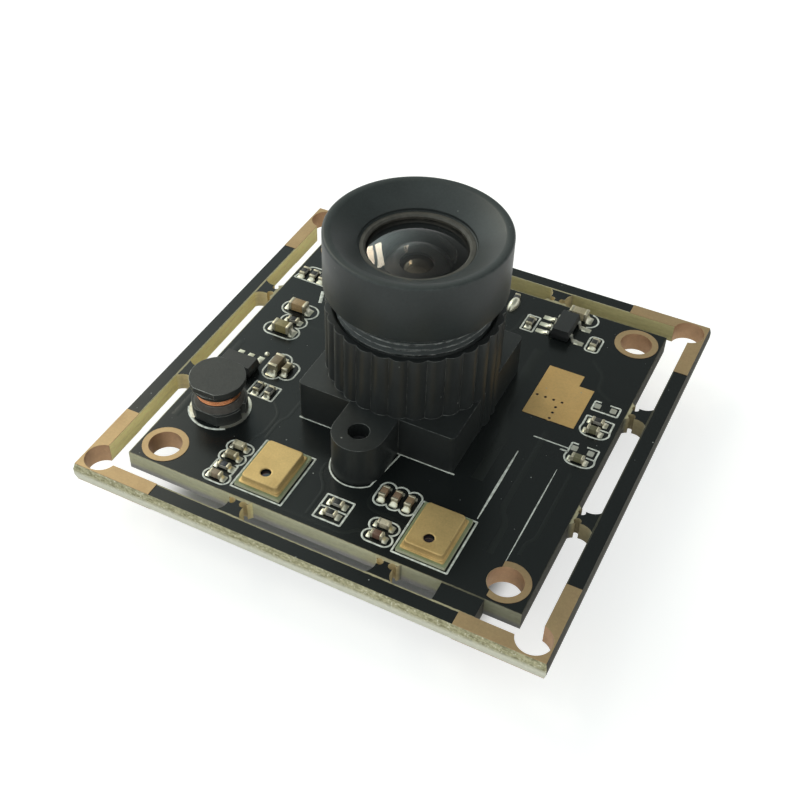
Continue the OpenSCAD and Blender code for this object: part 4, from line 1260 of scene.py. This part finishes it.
@dataclass
class CoilWinding:
    """The inductor's copper winding, one layer of turns that show between the flanges.

    slope is the profile of the ring under the drum's top flange, as rows of radius and height.
    """

    x: float = -12.5
    y: float = -8.6
    foot_z: float = 1.75
    top_z: float = 2.85
    inner_r: float = 0.9
    outer_r: float = 1.74
    wire_d: float = 0.16
    slope: Path = ((1.79, 2.3), (1.84, 2.28), (2.02, 2.5), (2.1, 2.84), (1.77, 2.84), (1.77, 2.32))
    finish: Finish = field(default_factory=CopperFinish)
    slope_finish: Finish = field(default_factory=FerriteFinish)

    def skin(self, steps: int = 96) -> Skin:
        """Works out the winding.

        Its outer wall is a row of half-round turns: the radius is R - d/2 + d/2 |sin(pi (z - z0) / d - t / 2)|, so
        the turns climb by one wire each time round.

        Args:
            steps: Number of steps round the axis.

        Returns:
            A closed skin, in place.
        """
        z = np.linspace(self.foot_z, self.top_z, int((self.top_z - self.foot_z) / self.wire_d * 8))
        t = np.linspace(0, 2 * np.pi, steps, endpoint=False)
        wave = np.abs(np.sin(np.pi * (z[:, None] - self.foot_z) / self.wire_d - t[None] / 2))
        r = self.outer_r - self.wire_d / 2 + self.wire_d / 2 * wave
        outer = np.stack([r * np.cos(t), r * np.sin(t), np.broadcast_to(z[:, None], r.shape)], -1)
        inner = np.stack([circle(self.inner_r, level, steps) for level in (self.top_z, self.foot_z)])
        return loft(np.concatenate([outer, inner]), wrap=True).moved((self.x, self.y, 0))

    def under_flange(self) -> Skin:
        """The slope under the drum's top flange: a ring that narrows from the flange's reach to the winding."""
        return loft(np.stack([circle(r, z, 64) for r, z in self.slope]), wrap=True).moved((self.x, self.y, 0))

    def build(self) -> None:
        """Writes the winding in place of its CAD node, and the slope over it."""
        write_piece("inductor_turns", self.skin(), self.finish, Body.MODULE, ("inductor_winding",))
        write_piece("inductor_slope", self.under_flange(), self.slope_finish, Body.MODULE)


class Chip(Enum):
    """Kinds of two-ended chip parts: length, width, height and length of a metal end."""

    SMALL_CAPACITOR = (1.0, 0.5, 0.5, 0.24)
    LARGE_CAPACITOR = (1.6, 0.8, 0.8, 0.3)
    RESISTOR = (1.0, 0.5, 0.34, 0.24)
    BEAD = (1.5, 0.46, 0.4, 0.24)


@dataclass
class ChipParts:
    """All two-ended parts on the front: bodies, metal ends and the solder that holds them.

    parts lists x, y, turn in degrees and colour of each part by its kind. feet lists the moulded chips' leads: the
    middle of each row, the step to its leads, their numbers, the way they point and the length of their pads.
    """

    solder_t: float = 0.05
    proud: float = 0.02
    land: float = 0.3
    large_land: float = 0.42
    slab: Colour = (0.42, 0.4, 0.36)
    parts: dict[Chip, tuple[tuple[float, float, float, Colour], ...]] = field(default_factory=lambda: {
        Chip.SMALL_CAPACITOR: (
            (-8.76, -11.7, 0, (0.52, 0.47, 0.33)), (-8.76, -12.8, 0, (0.22, 0.18, 0.1)),
            (-8.76, -15.0, 0, (0.25, 0.19, 0.13)), (3.07, -10.8, 90, (0.29, 0.19, 0.12)),
            (4.1, -10.8, 90, (0.26, 0.17, 0.11)), (5.13, -10.8, 90, (0.25, 0.17, 0.1)),
            (4.45, -13.5, 0, (0.55, 0.49, 0.36)), (4.45, -14.6, 0, (0.15, 0.08, 0.055)),
            (-10.0, -2.5, 90, (0.22, 0.18, 0.1)), (14.33, 2.43, 0, (0.15, 0.14, 0.08)),
            (14.33, -0.95, 0, (0.17, 0.16, 0.09)),
        ),
        Chip.LARGE_CAPACITOR: (
            (-10.95, -2.5, 90, (0.2, 0.15, 0.09)), (-13.05, 4.75, 0, (0.38, 0.25, 0.12)),
            (-12.9, 1.7, 0, (0.28, 0.23, 0.1)), (8.55, 15.0, 0, (0.4, 0.34, 0.22)),
        ),
        Chip.RESISTOR: (
            (-8.76, -13.9, 0, (0.03, 0.035, 0.05)), (0.52, -13.25, 0, (0.02, 0.022, 0.024)),
            (0.52, -14.3, 0, (0.02, 0.022, 0.024)), (-10.96, -5.4, 90, (0.025, 0.027, 0.028)),
            (-9.9, -5.4, 90, (0.025, 0.027, 0.028)), (-12.68, 3.15, 0, (0.03, 0.03, 0.032)),
            (-15.2, 9.45, 90, (0.03, 0.03, 0.032)), (-14.2, 9.45, 90, (0.03, 0.03, 0.032)),
            (-13.3, 9.45, 90, (0.03, 0.03, 0.032)), (14.33, 3.58, 0, (0.03, 0.03, 0.03)),
            (10.92, 12.27, 90, (0.03, 0.03, 0.032)), (5.18, 12.4, 90, (0.03, 0.03, 0.032)),
        ),
        Chip.BEAD: ((2.95, 14.4, 90, (0.06, 0.06, 0.06)),),
    })
    feet: tuple[tuple[Point, Point, tuple[int, ...], float, float], ...] = (
        ((6.9, 12.8), (0, 0.95), (-1, 0, 1), 180, 1.0), ((9.34, 12.8), (0, 0.95), (-1, 1), 0, 0.75),
        ((-13.6, -2.83), (0.95, 0), (-1, 0, 1), 90, 0.85), ((-13.6, -5.27), (0.95, 0), (-1, 0, 1), -90, 0.7),
    )
    body_finish: Finish = field(default_factory=TonedFinish)
    end_finish: Finish = field(default_factory=lambda: TinFinish("tinned_ends", (0.62, 0.57, 0.44), rough=0.38))
    solder_finish: Finish = field(default_factory=TinFinish)

    def body(self, kind: Chip, tone: Colour) -> Skin:
        """The ceramic body between the metal ends. A resistor's dark glaze lies on a pale slab."""
        l, w, h, end = kind.value
        foot = self.solder_t + self.proud
        if kind is Chip.RESISTOR:
            glaze = bar(l - 2 * end - 0.02, w - 0.06, 0.07, 0.03, foot + h - 0.075)
            return joined([bar(l - 1.5 * end, w, h - 0.05, 0.02, foot).toned(self.slab), glaze.toned(tone)])
        return bar(l - 1.6 * end, w, h, 0.05, foot).toned(tone)

    def ends(self, kind: Chip, _: Colour) -> Skin:
        """The two metal caps."""
        l, w, h, end = kind.value
        cap = bar(end, w + 2 * self.proud, h + 2 * self.proud, 0.07, self.solder_t)
        return joined([cap.moved((s * (l - end) / 2, 0, 0)) for s in (-1, 1)])

    def solder(self, kind: Chip, _: Colour) -> Skin:
        """The fillets at both ends, which climb half-way up the caps."""
        l, w, h, _ = kind.value
        land = self.large_land if kind is Chip.LARGE_CAPACITOR else self.land
        fillet = fillet_mound(w + 0.14, land + 0.06, 0.62 * h + 0.05).moved((l / 2 - 0.04, 0, 0))
        return joined([fillet, fillet.moved(turn=180)])

    def lead_solder(self) -> Skin:
        """Solder on the pads of the two moulded chips."""
        return joined([
            fillet_mound(0.54, run, 0.2).moved((x + i * dx, y + i * dy, 0), turn)
            for (x, y), (dx, dy), numbers, turn, run in self.feet for i in numbers
        ])

    def blobs(self) -> Skin:
        """Round solder blobs: one on a test point, one over the bead's near end and one on its far pad."""
        return joined([
            mound(0.24, 0.24, 0.2).moved((-12.49, -1.5, 0)), mound(0.44, 1.0, 0.58).moved((3.0, 14.0, 0), -4),
            mound(0.24, 0.24, 0.3).moved((2.93, 15.2, 0)),
        ])

    def placed(self, make: Callable[[Chip, Colour], Skin], kinds: tuple[Chip, ...]) -> Skin:
        """Makes one skin for every part of these kinds, in its place."""
        return joined([
            make(kind, tone).moved((x, y, 0), turn) for kind in kinds for x, y, turn, tone in self.parts[kind]
        ])

    def build(self) -> None:
        """Writes bodies, ends and solder in place of their CAD nodes."""
        capacitors = (Chip.SMALL_CAPACITOR, Chip.LARGE_CAPACITOR)
        for name, bodies, kinds, slot in (
            ("capacitor", "capacitor_bodies", capacitors, Slot.CAPACITOR),
            ("resistor", "resistor_bodies", (Chip.RESISTOR,), Slot.RESISTOR),
            ("bead", "bead_body", (Chip.BEAD,), Slot.FERRITE),
        ):
            blocks, caps = self.placed(self.body, kinds), self.placed(self.ends, kinds)
            write_piece(name + "_blocks", blocks, self.body_finish, Body.MODULE, (bodies,))
            write_piece(name + "_caps", caps, self.end_finish, Body.MODULE, (name + "_ends",))
        fillets = self.placed(self.solder, (*capacitors, Chip.RESISTOR))
        solder = joined([fillets, self.lead_solder(), self.blobs()])
        write_piece("solder_joints", solder, self.solder_finish, Body.MODULE)


@dataclass
class Lobe:
    """One part's share of a joint outline: its middle, reach, and how square its ends are."""

    middle: float
    half: float
    low: float
    high: float
    square: float = 2.0


@dataclass
class Legend:
    """The white print on the front: outlines round the parts and the holder, and loose lines."""

    width: float = 0.15
    height: float = 0.015
    finish: Finish = field(default_factory=InkFinish)
    skins: list[Skin] = field(default_factory=list)

    def closed(self, path: np.ndarray) -> None:
        """Prints a closed stroke."""
        self.skins.append(ribbon(path, self.width, self.height, True))

    def line(self, *corners: tuple[float, ...], radius: float = 0.0, width: float | None = None) -> None:
        """Prints an open stroke from corner to corner."""
        self.skins.append(ribbon(rounded_path(corners, False, radius), width or self.width, self.height))

    def box(self, x0: float, y0: float, x1: float, y1: float, radius: float = 0.05) -> None:
        """Prints a box."""
        self.closed(rounded_path([(x0, y0), (x1, y0), (x1, y1), (x0, y1)], True, radius))

    def tapered(self, x0: float, y0: float, x1: float, y1: float, width: float) -> None:
        """Prints a straight stroke that thins out to both ends."""
        t = np.linspace(0, 1, 13)[:, None]
        path = np.array([[x0, y0]]) * (1 - t) + np.array([[x1, y1]]) * t
        self.skins.append(ribbon(path, width * (0.35 + 0.65 * np.sin(np.pi * t[:, 0])), self.height))

    def lobed(self, *lobes: Lobe, upright: bool = False) -> None:
        """Prints an outline round a row of parts.

        Each part has a superellipse: at t = (y - middle) / half its right end lies at
        high - half * (1 - (1 - |t|^k)^(1/k)), and its left end mirrors that. The outline takes the farthest.

        Args:
            *lobes: The parts, from one end of the row to the other.
            upright: False stacks the parts along Y, True sets them side by side along X.
        """
        start = min(l.middle - l.half for l in lobes)
        end = max(l.middle + l.half for l in lobes)
        a = np.linspace(0, np.pi, 40 * len(lobes) + 24)
        y = (start + end) / 2 - (end - start) / 2 * np.cos(a)
        right = np.full(len(y), -1e9)
        left = np.full(len(y), 1e9)
        for l in lobes:
            t = np.clip(np.abs(y - l.middle) / l.half, 0, 1)
            drop = l.half * (1 - (1 - t**l.square) ** (1 / l.square))
            inside = np.abs(y - l.middle) <= l.half + 1e-6
            right = np.where(inside, np.maximum(right, l.high - drop), right)
            left = np.where(inside, np.minimum(left, l.low + drop), left)
        found = right >= left
        right, left, y = right[found], left[found], y[found]
        path = np.concatenate([np.stack([right, y], -1), np.stack([left, y], -1)[::-1]])
        self.closed(path[:, ::-1] if upright else path)

    def around_small_parts(self) -> None:
        """Prints the outlines on the near and left side of the board."""
        self.lobed(
            Lobe(-14.96, 0.57, -9.85, -7.66), Lobe(-13.92, 0.56, -9.66, -7.86, 9),
            Lobe(-12.8, 0.58, -9.85, -7.66), Lobe(-11.68, 0.6, -9.85, -7.66))
        self.lobed(*(Lobe(x, 0.6, -11.85, -9.5) for x in (3.06, 4.11, 5.16)), upright=True)
        self.lobed(Lobe(-14.63, 0.57, 3.3, 5.6), Lobe(-13.5, 0.6, 3.3, 5.6))
        self.box(-0.62, -14.95, 1.6, -12.6)
        self.line((-0.62, -13.78), (1.6, -13.78))
        self.lobed(Lobe(-11.0, 0.84, -3.95, -0.8), Lobe(-9.85, 0.7, -3.55, -1.45), upright=True)
        self.box(-11.58, -6.2, -9.3, -4.6)
        self.line((-10.44, -6.2), (-10.44, -4.6))
        self.lobed(Lobe(1.7, 0.8, -14.6, -11.4), Lobe(3.2, 0.74, -13.85, -11.5), Lobe(4.78, 0.88, -14.6, -11.3))
        self.line((-13.0, 10.6), (-15.15, 10.6, 0.5), (-15.75, 8.6, 0.1), (-12.6, 8.55))
        self.line((-12.46, 7.91), (-11.92, 6.39), width=0.3)

    def around_right_parts(self) -> None:
        """Prints the outlines on the right and far side of the board."""
        self.line(
            (13.84, 5.93), (13.34, 5.93), (13.34, 4.87), (15.44, 4.87), (15.44, 5.93), (14.55, 5.93), radius=0.12)
        self.line(
            (13.82, 4.1), (13.3, 4.1, 0.1), (13.3, 3.05, 0.1), (13.2, 2.5, 0.4), (13.62, 1.93, 0.5),
            (15.15, 1.93, 0.5), (15.62, 2.5, 0.4), (15.5, 3.05, 0.1), (15.5, 4.1, 0.1), (14.5, 4.1))
        self.line((15.5, 2.98), (14.75, 2.98))
        self.line(
            (13.84, 0.75), (13.33, 0.75, 0.1), (13.33, -0.3, 0.1), (13.2, -0.9, 0.4), (13.62, -1.46, 0.5),
            (15.15, -1.46, 0.5), (15.62, -0.9, 0.4), (15.48, -0.3, 0.1), (15.48, 0.75, 0.1), (14.5, 0.75))
        self.line((15.48, -0.35), (14.8, -0.35))
        self.line((12.75, -0.35), (13.33, -0.35))
        self.box(10.36, 11.3, 11.48, 13.25, 0.36)
        self.box(4.66, 11.4, 5.72, 13.45)

    def around_large_parts(self) -> None:
        """Prints the arcs, the lines round the holder and the boxes round the microphones."""
        swing = np.concatenate([arc_path(0.08, -9.05, 2.22, 176, 318, 30), np.array([[2.3, -6.6]])])
        self.skins.append(ribbon(arc_path(9.39, 15.0, 0.9, -80, 80), self.width, self.height))
        self.skins.append(ribbon(arc_path(-12.5, -8.55, 2.5, 206, 310), 0.2, self.height))
        self.line((-6.5, -6.56), (-3.55, -6.56))
        self.line((1.86, -6.56), (6.75, -6.56))
        self.skins.append(ribbon(swing, 0.13, self.height))
        self.tapered(10.0, -9.7, 10.0, -2.05, 0.2)
        self.tapered(13.3, -12.3, 13.3, -2.5, 0.11)
        self.line((10.44, 0.0), (13.3, 0.0), width=0.12)
        for x in (MIC_LEFT_X, MIC_RIGHT_X):
            self.box(x - 2.14, -15.25, x + 2.14, -10.02, 0.03)

    def build(self) -> None:
        """Writes the front print."""
        self.around_small_parts()
        self.around_right_parts()
        self.around_large_parts()
        write_piece("printed_legend", joined(self.skins), self.finish, Body.MODULE, smooth=60)


@dataclass
class BackLegend(Legend):
    """Plain outlines printed round the parts on the back: middle, width, length and corner radius of each."""

    board_t: float = 1.6
    boxes: tuple[tuple[float, float, float, float, float], ...] = (
        (0, 0, 10.2, 10.2, 0.05), (-7.4, -10.6, 5.6, 6.9, 0.05), (12.6, 0, 5.1, 11.8, 0.3),
        (7.6, 11.6, 3.6, 3.7, 0.05), (7.6, -11.6, 3.6, 3.7, 0.05),
    )

    def build(self) -> None:
        """Writes the back print, turned over to the board's underside."""
        for x, y, w, l, r in self.boxes:
            self.box(x - w / 2, -y - l / 2, x + w / 2, -y + l / 2, r)
        under = joined(self.skins).flipped_down(-self.board_t)
        write_piece("printed_legend_back", under, self.finish, Body.MODULE, smooth=60)


@dataclass
class CopperRelief:
    """Copper tracks under the solder mask, which show as a faint relief. Each has a width and its corners."""

    height: float = 0.004
    slope: float = 0.06
    finish: Finish = field(default_factory=MaskOverCopper)
    tracks: tuple[tuple[float, Path], ...] = (
        (0.9, ((7.2, 9.6), (7.2, 1.0), (8.4, -0.4), (8.4, -6.2))),
        (0.3, ((-7.4, -15.4), (2.2, -15.4), (2.9, -14.6), (3.9, -14.6))),
        (0.3, ((-1.1, -15.0), (-1.1, -12.2), (-2.2, -11.0), (-2.2, -9.9))),
        (0.3, ((2.3, -11.0), (2.3, -12.0), (2.9, -12.5), (5.0, -12.5), (5.7, -12.9))),
        (0.6, ((-15.2, -1.0), (-15.2, -6.6), (-15.2, -11.0))),
        (0.3, ((-9.2, -5.9), (-8.0, -7.1), (-8.0, -9.6), (-8.5, -10.4), (-8.5, -10.9))),
        (0.3, ((-7.6, -9.9), (-7.6, -7.6), (-7.2, -7.2), (-7.2, 2.0), (-8.4, 3.2), (-11.3, 3.2))),
        (0.3, ((11.5, 10.4), (13.0, 8.9), (13.0, 7.2), (14.4, 6.4))),
        (0.3, ((3.6, 8.8), (3.6, 10.2), (4.4, 11.0), (4.4, 13.2))),
        (0.5, ((11.2, 0.9), (11.2, -8.2), (12.0, -9.0), (12.0, -12.2))),
        (0.3, ((14.4, -2.4), (14.4, -9.6), (13.9, -10.1), (13.9, -11.4))),
    )

    def build(self) -> None:
        """Writes the tracks."""
        skins = [
            ribbon(rounded_path(path, False, 0.4 + width), width, self.height, slope=self.slope)
            for width, path in self.tracks
        ]
        write_piece("copper_relief", joined(skins), self.finish, Body.MODULE, smooth=60)


@dataclass
class CadDress:
    """Finishes of the CAD nodes that are kept as they are."""

    nodes: dict[str, bpy.types.Object]

    def finishes(self) -> tuple[tuple[Finish, str], ...]:
        """Returns each finish with the names of its nodes."""
        # Painted shade: a darker copy of the gold for the mount hole rings and the corner plating.
        shaded_gold = GoldFinish("shaded_gold", (0.5, 0.36, 0.2), (0.46, 0.3, 0.165))
        # Painted highlight: the holder's pale edge colour stands for glints along the flute tops and edges.
        holder = PlasticFinish(
            "holder_black", (0.017, 0.0195, 0.0195), (0.3, 0.32, 0.3), rough=0.36, edge_gain=2.6)
        inner = PlasticFinish("inner_black", (0.008, 0.009, 0.01), (0.05, 0.05, 0.05), rough=0.5, dust=0.03)
        chip = PlasticFinish(
            "chip_black", (0.022, 0.024, 0.025), (0.06, 0.06, 0.06), rough=0.45, edge_radius=0.00004)
        coated = GlassFinish("coated_front_glass", (0.94, 0.9, 0.88), (0.06, 0.05, 0.04), front_z=0.01408)
        # Painted shade: the second glass is drawn opaque and near-black, standing for the dark inside the lens.
        blacked_out_glass = GlassFinish("painted_shade_glass", (0.022, 0.018, 0.017), (1.0, 0.9, 0.66), specular=0.7, clear=0.0)
        return (
            (BoardFinish(), "main_board"),
            (shaded_gold, "mount_hole_plating corner_plating"),
            (GoldFinish(), "gold_field socket_contacts"),
            (TinFinish("tinned_leads", (0.72, 0.7, 0.62)),
             "bare_lands inductor_terminals step_up_leads regulator_leads controller_leads memory_leads "
             "crystal_leads socket_tabs back_regulator_leads back_capacitor_ends back_resistor_ends"),
            (holder, "lens_holder"),
            (inner, "cell_ring aperture_stop lens_spacer rear_ring"),
            (chip, "step_up_body regulator_body controller_body memory_body crystal_foot back_regulator_bodies"),
            (coated, "front_glass"),
            (blacked_out_glass, "second_glass"),
            (GlassFinish(colour=(0.86, 0.9, 0.88)), "crown_glass flint_glass rear_glass sensor_cover"),
            (GlassFinish("blue_filter_glass", (0.45, 0.78, 0.78)), "infrared_filter"),
            (LaminateFinish(), "mic_left_base mic_right_base"),
            (FerriteFinish(), "inductor_core"),
            (PlainWornFinish("black_zinc", (0.07, 0.07, 0.075), (0.14, 0.14, 0.145), 0.38, 0.8), "holder_screws"),
            (PlainWornFinish("matt_ring", (0.075, 0.07, 0.058), (0.055, 0.051, 0.043), 0.5), "front_ring"),
            (PlainWornFinish("tray_ceramic", (0.6, 0.56, 0.48), (0.52, 0.48, 0.4), 0.6), "sensor_tray"),
            (PlainWornFinish("bare_silicon", (0.1, 0.13, 0.14), (0.16, 0.12, 0.15), 0.12, 0.8, 900.0),
             "sensor_chip mic_chips"),
            (PlainWornFinish("drawn_steel", (0.55, 0.56, 0.57), (0.45, 0.46, 0.47), 0.26, 0.95, 700.0),
             "crystal_can"),
            (PlainWornFinish("natural_nylon", (0.72, 0.66, 0.52), (0.66, 0.6, 0.46), 0.42), "cable_socket"),
            (PlainWornFinish("back_capacitor", (0.3, 0.22, 0.13), (0.22, 0.16, 0.09), 0.45, 0.0, 2600.0),
             "back_capacitor_bodies"),
            (PlainWornFinish("back_resistor", (0.025, 0.026, 0.03), (0.035, 0.036, 0.04), 0.3),
             "back_resistor_bodies"),
        )

    def build(self) -> None:
        """Gives each kept node its finish."""
        for finish, names in self.finishes():
            for name in names.split():
                materials = self.nodes[name].data.materials
                materials.clear()
                materials.append(finish.material())
                LOG.info("%s: finished in %s", name, finish.name)


@dataclass
class Studio:
    """Pale floor, soft light from the left and behind, and the photograph's camera.

    The camera's place and floor_z are in millimetres, and the other lengths in metres. shadow_patch_x and
    shadow_patch_y bound a painted shadow: the part of the floor that shows through the near slot, where the floor
    does not glow and so stays dark. Each gives where the dark starts on one side and is full, and then the same
    from the other side.
    """

    eye: tuple[float, float, float] = (29.0781, -64.3042, 66.3088)
    look: tuple[float, float, float] = (-0.34429956, 0.65023695, -0.67723682)
    up: tuple[float, float, float] = (-0.3177432, 0.59807145, 0.73576477)
    focal: float = 54.582
    shift: tuple[float, float] = (0.05462, -0.02703)
    floor_z: float = -5.1
    floor_half: float = 1.5
    floor_glow: float = 0.62
    floor_tones: tuple[Colour, Colour] = ((0.6, 0.6, 0.595), (0.63, 0.63, 0.625))
    tent_left: Colour = (0.92, 1.0, 0.98)
    tent_right: Colour = (0.66, 0.7, 0.67)
    tent_back: Colour = (0.19, 0.205, 0.195)
    glow_light: Colour = (1.2, 1.45, 1.42)
    glow_power: float = 22.0
    shadow_patch_x: tuple[float, float, float, float] = (-0.0155, -0.012, 0.0135, 0.0115)
    shadow_patch_y: tuple[float, float, float, float] = (-0.0165, -0.0158, -0.0085, -0.0105)
    glow: tuple[float, float, float] = (-0.76, 0.44, 0.478)
    back: tuple[float, float, float] = (0.05, 0.8, 0.6)
    window: tuple[float, float, float] = (-0.663, 0.383, 0.643)
    window_away: float = 0.3
    window_lift: float = 0.01
    window_h: float = 0.165
    window_turn: float = -31.0

    def camera(self) -> None:
        """Adds the camera: its X is look x up, its Y is up, and it looks along -Z."""
        look, up = Vector(self.look).normalized(), Vector(self.up).normalized()
        side = look.cross(up).normalized()
        up = side.cross(look)
        data = bpy.data.cameras.new("camera")
        data.sensor_width = 36
        data.lens = self.focal
        data.shift_x, data.shift_y = self.shift
        data.clip_start = 0.001
        obj = linked("camera", data)
        turn = Matrix((side, up, -look)).transposed()
        obj.matrix_world = Matrix.Translation(Vector(self.eye) * MM) @ turn.to_4x4()
        bpy.context.scene.camera = obj

    def floor(self) -> None:
        """Adds a pale floor that shows as white and keeps the object's soft shadow, with a painted shadow on a
        patch under the near slot, where it does not glow.
        """
        half, z = self.floor_half, self.floor_z * MM
        mesh = bpy.data.meshes.new("floor")
        corners = [(-half, -half, z), (half, -half, z), (half, half, z), (-half, half, z)]
        mesh.from_pydata(corners, [], [(0, 1, 2, 3)])
        made = bpy.data.materials.new("pale_floor")
        made.use_nodes = True
        n = Nodes(made.node_tree)
        shader = made.node_tree.nodes["Principled BSDF"]
        place = n.add("TexCoord").outputs["Object"]
        x, y, _ = n.split(place)
        # Painted shadow: the floor does not glow inside this patch.
        shadow_along_x = n.times(n.step(x, *self.shadow_patch_x[:2]), n.step(x, *self.shadow_patch_x[2:]))
        shadow_along_y = n.times(n.step(y, *self.shadow_patch_y[:2]), n.step(y, *self.shadow_patch_y[2:]))
        ray = n.add("LightPath").outputs
        bounced = n.larger(ray["Is Glossy Ray"], ray["Is Transmission Ray"])
        seen = n.times(n.larger(ray["Is Camera Ray"], bounced), self.floor_glow)
        n.fill(
            shader, Base_Color=n.mix(n.noise(place, 40, 3), *self.floor_tones), Roughness=0.9,
            Specular_IOR_Level=0.1, Emission_Color=WHITE,
            Emission_Strength=n.times(seen, n.less(1.0, n.times(shadow_along_x, shadow_along_y))))
        mesh.materials.append(made)
        linked("floor", mesh)

    def world(self) -> None:
        """Sets a white tent that is darker behind the object, with a glow round the window."""
        world = bpy.data.worlds.new("studio")
        bpy.context.scene.world = world
        world.use_nodes = True
        n = Nodes(world.node_tree)
        toward = n.add("TexCoord").outputs["Object"]
        x, _, z = n.split(toward)
        at_glow, at_back = (n.dot(toward, Vector(way).normalized()) for way in (self.glow, self.back))
        glow = n.math("POWER", n.times(n.plus(at_glow, 1.0), 0.5, clamp=True), self.glow_power)
        tent = n.mix(n.step(x, -0.3, 0.6), self.tent_left, self.tent_right)
        tent = n.mix(n.step(at_back, 0.3, 0.85), tent, self.tent_back)
        light = n.mix(1.0, tent, n.mix(glow, BLACK, self.glow_light), "ADD")
        colour = n.mix(n.step(z, 0.36, 0.16), light, WHITE)
        n.fill(world.node_tree.nodes["Background"], Color=colour, Strength=1.0)

    def pane(self, name: str, width: float, aside: float, radiance: float, colour: Colour) -> None:
        """Adds one upright pane of the window as a rectangular lamp.

        Args:
            name: The lamp's name.
            width: Its width, in metres.
            aside: How far it stands to the right of the window's middle, in metres.
            radiance: How bright its face is, where 1 is white.
            colour: Its colour.
        """
        data = bpy.data.lights.new(name, "AREA")
        data.shape = "RECTANGLE"
        data.size, data.size_y = width, self.window_h
        data.energy = radiance * math.pi * data.size * data.size_y
        data.color = colour
        obj = linked(name, data)
        away = Vector(self.window).normalized()
        turn = away.to_track_quat("Z", "Y") @ Quaternion((0, 0, 1), math.radians(self.window_turn))
        obj.location = away * self.window_away + turn @ Vector((aside, 0, 0)) + Vector((0, 0, self.window_lift))
        obj.rotation_mode = "QUATERNION"
        obj.rotation_quaternion = turn

    def build(self) -> None:
        """Adds camera, floor, world and window."""
        self.camera()
        self.floor()
        self.world()
        self.pane("window_left", 0.02, -0.013, 9.0, (1.0, 0.9, 0.7))
        self.pane("window_right", 0.017, 0.013, 9.0, (1.0, 0.82, 0.58))
        bpy.context.scene.view_settings.view_transform = "Standard"


def main() -> None:
    """Builds the looks round the frame, piece by piece, and writes how big they came out."""
    logging.basicConfig(level=logging.INFO, format="%(message)s")
    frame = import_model()
    CadDress(frame["nodes"]).build()
    for piece in (
        LensBody(), Microphone("left", MIC_LEFT_X), Microphone("right", MIC_RIGHT_X), CoilWinding(),
        ChipParts(), CopperRelief(), Legend(), BackLegend(), Studio(),
    ):
        piece.build()


if __name__ == "__main__":
    main()
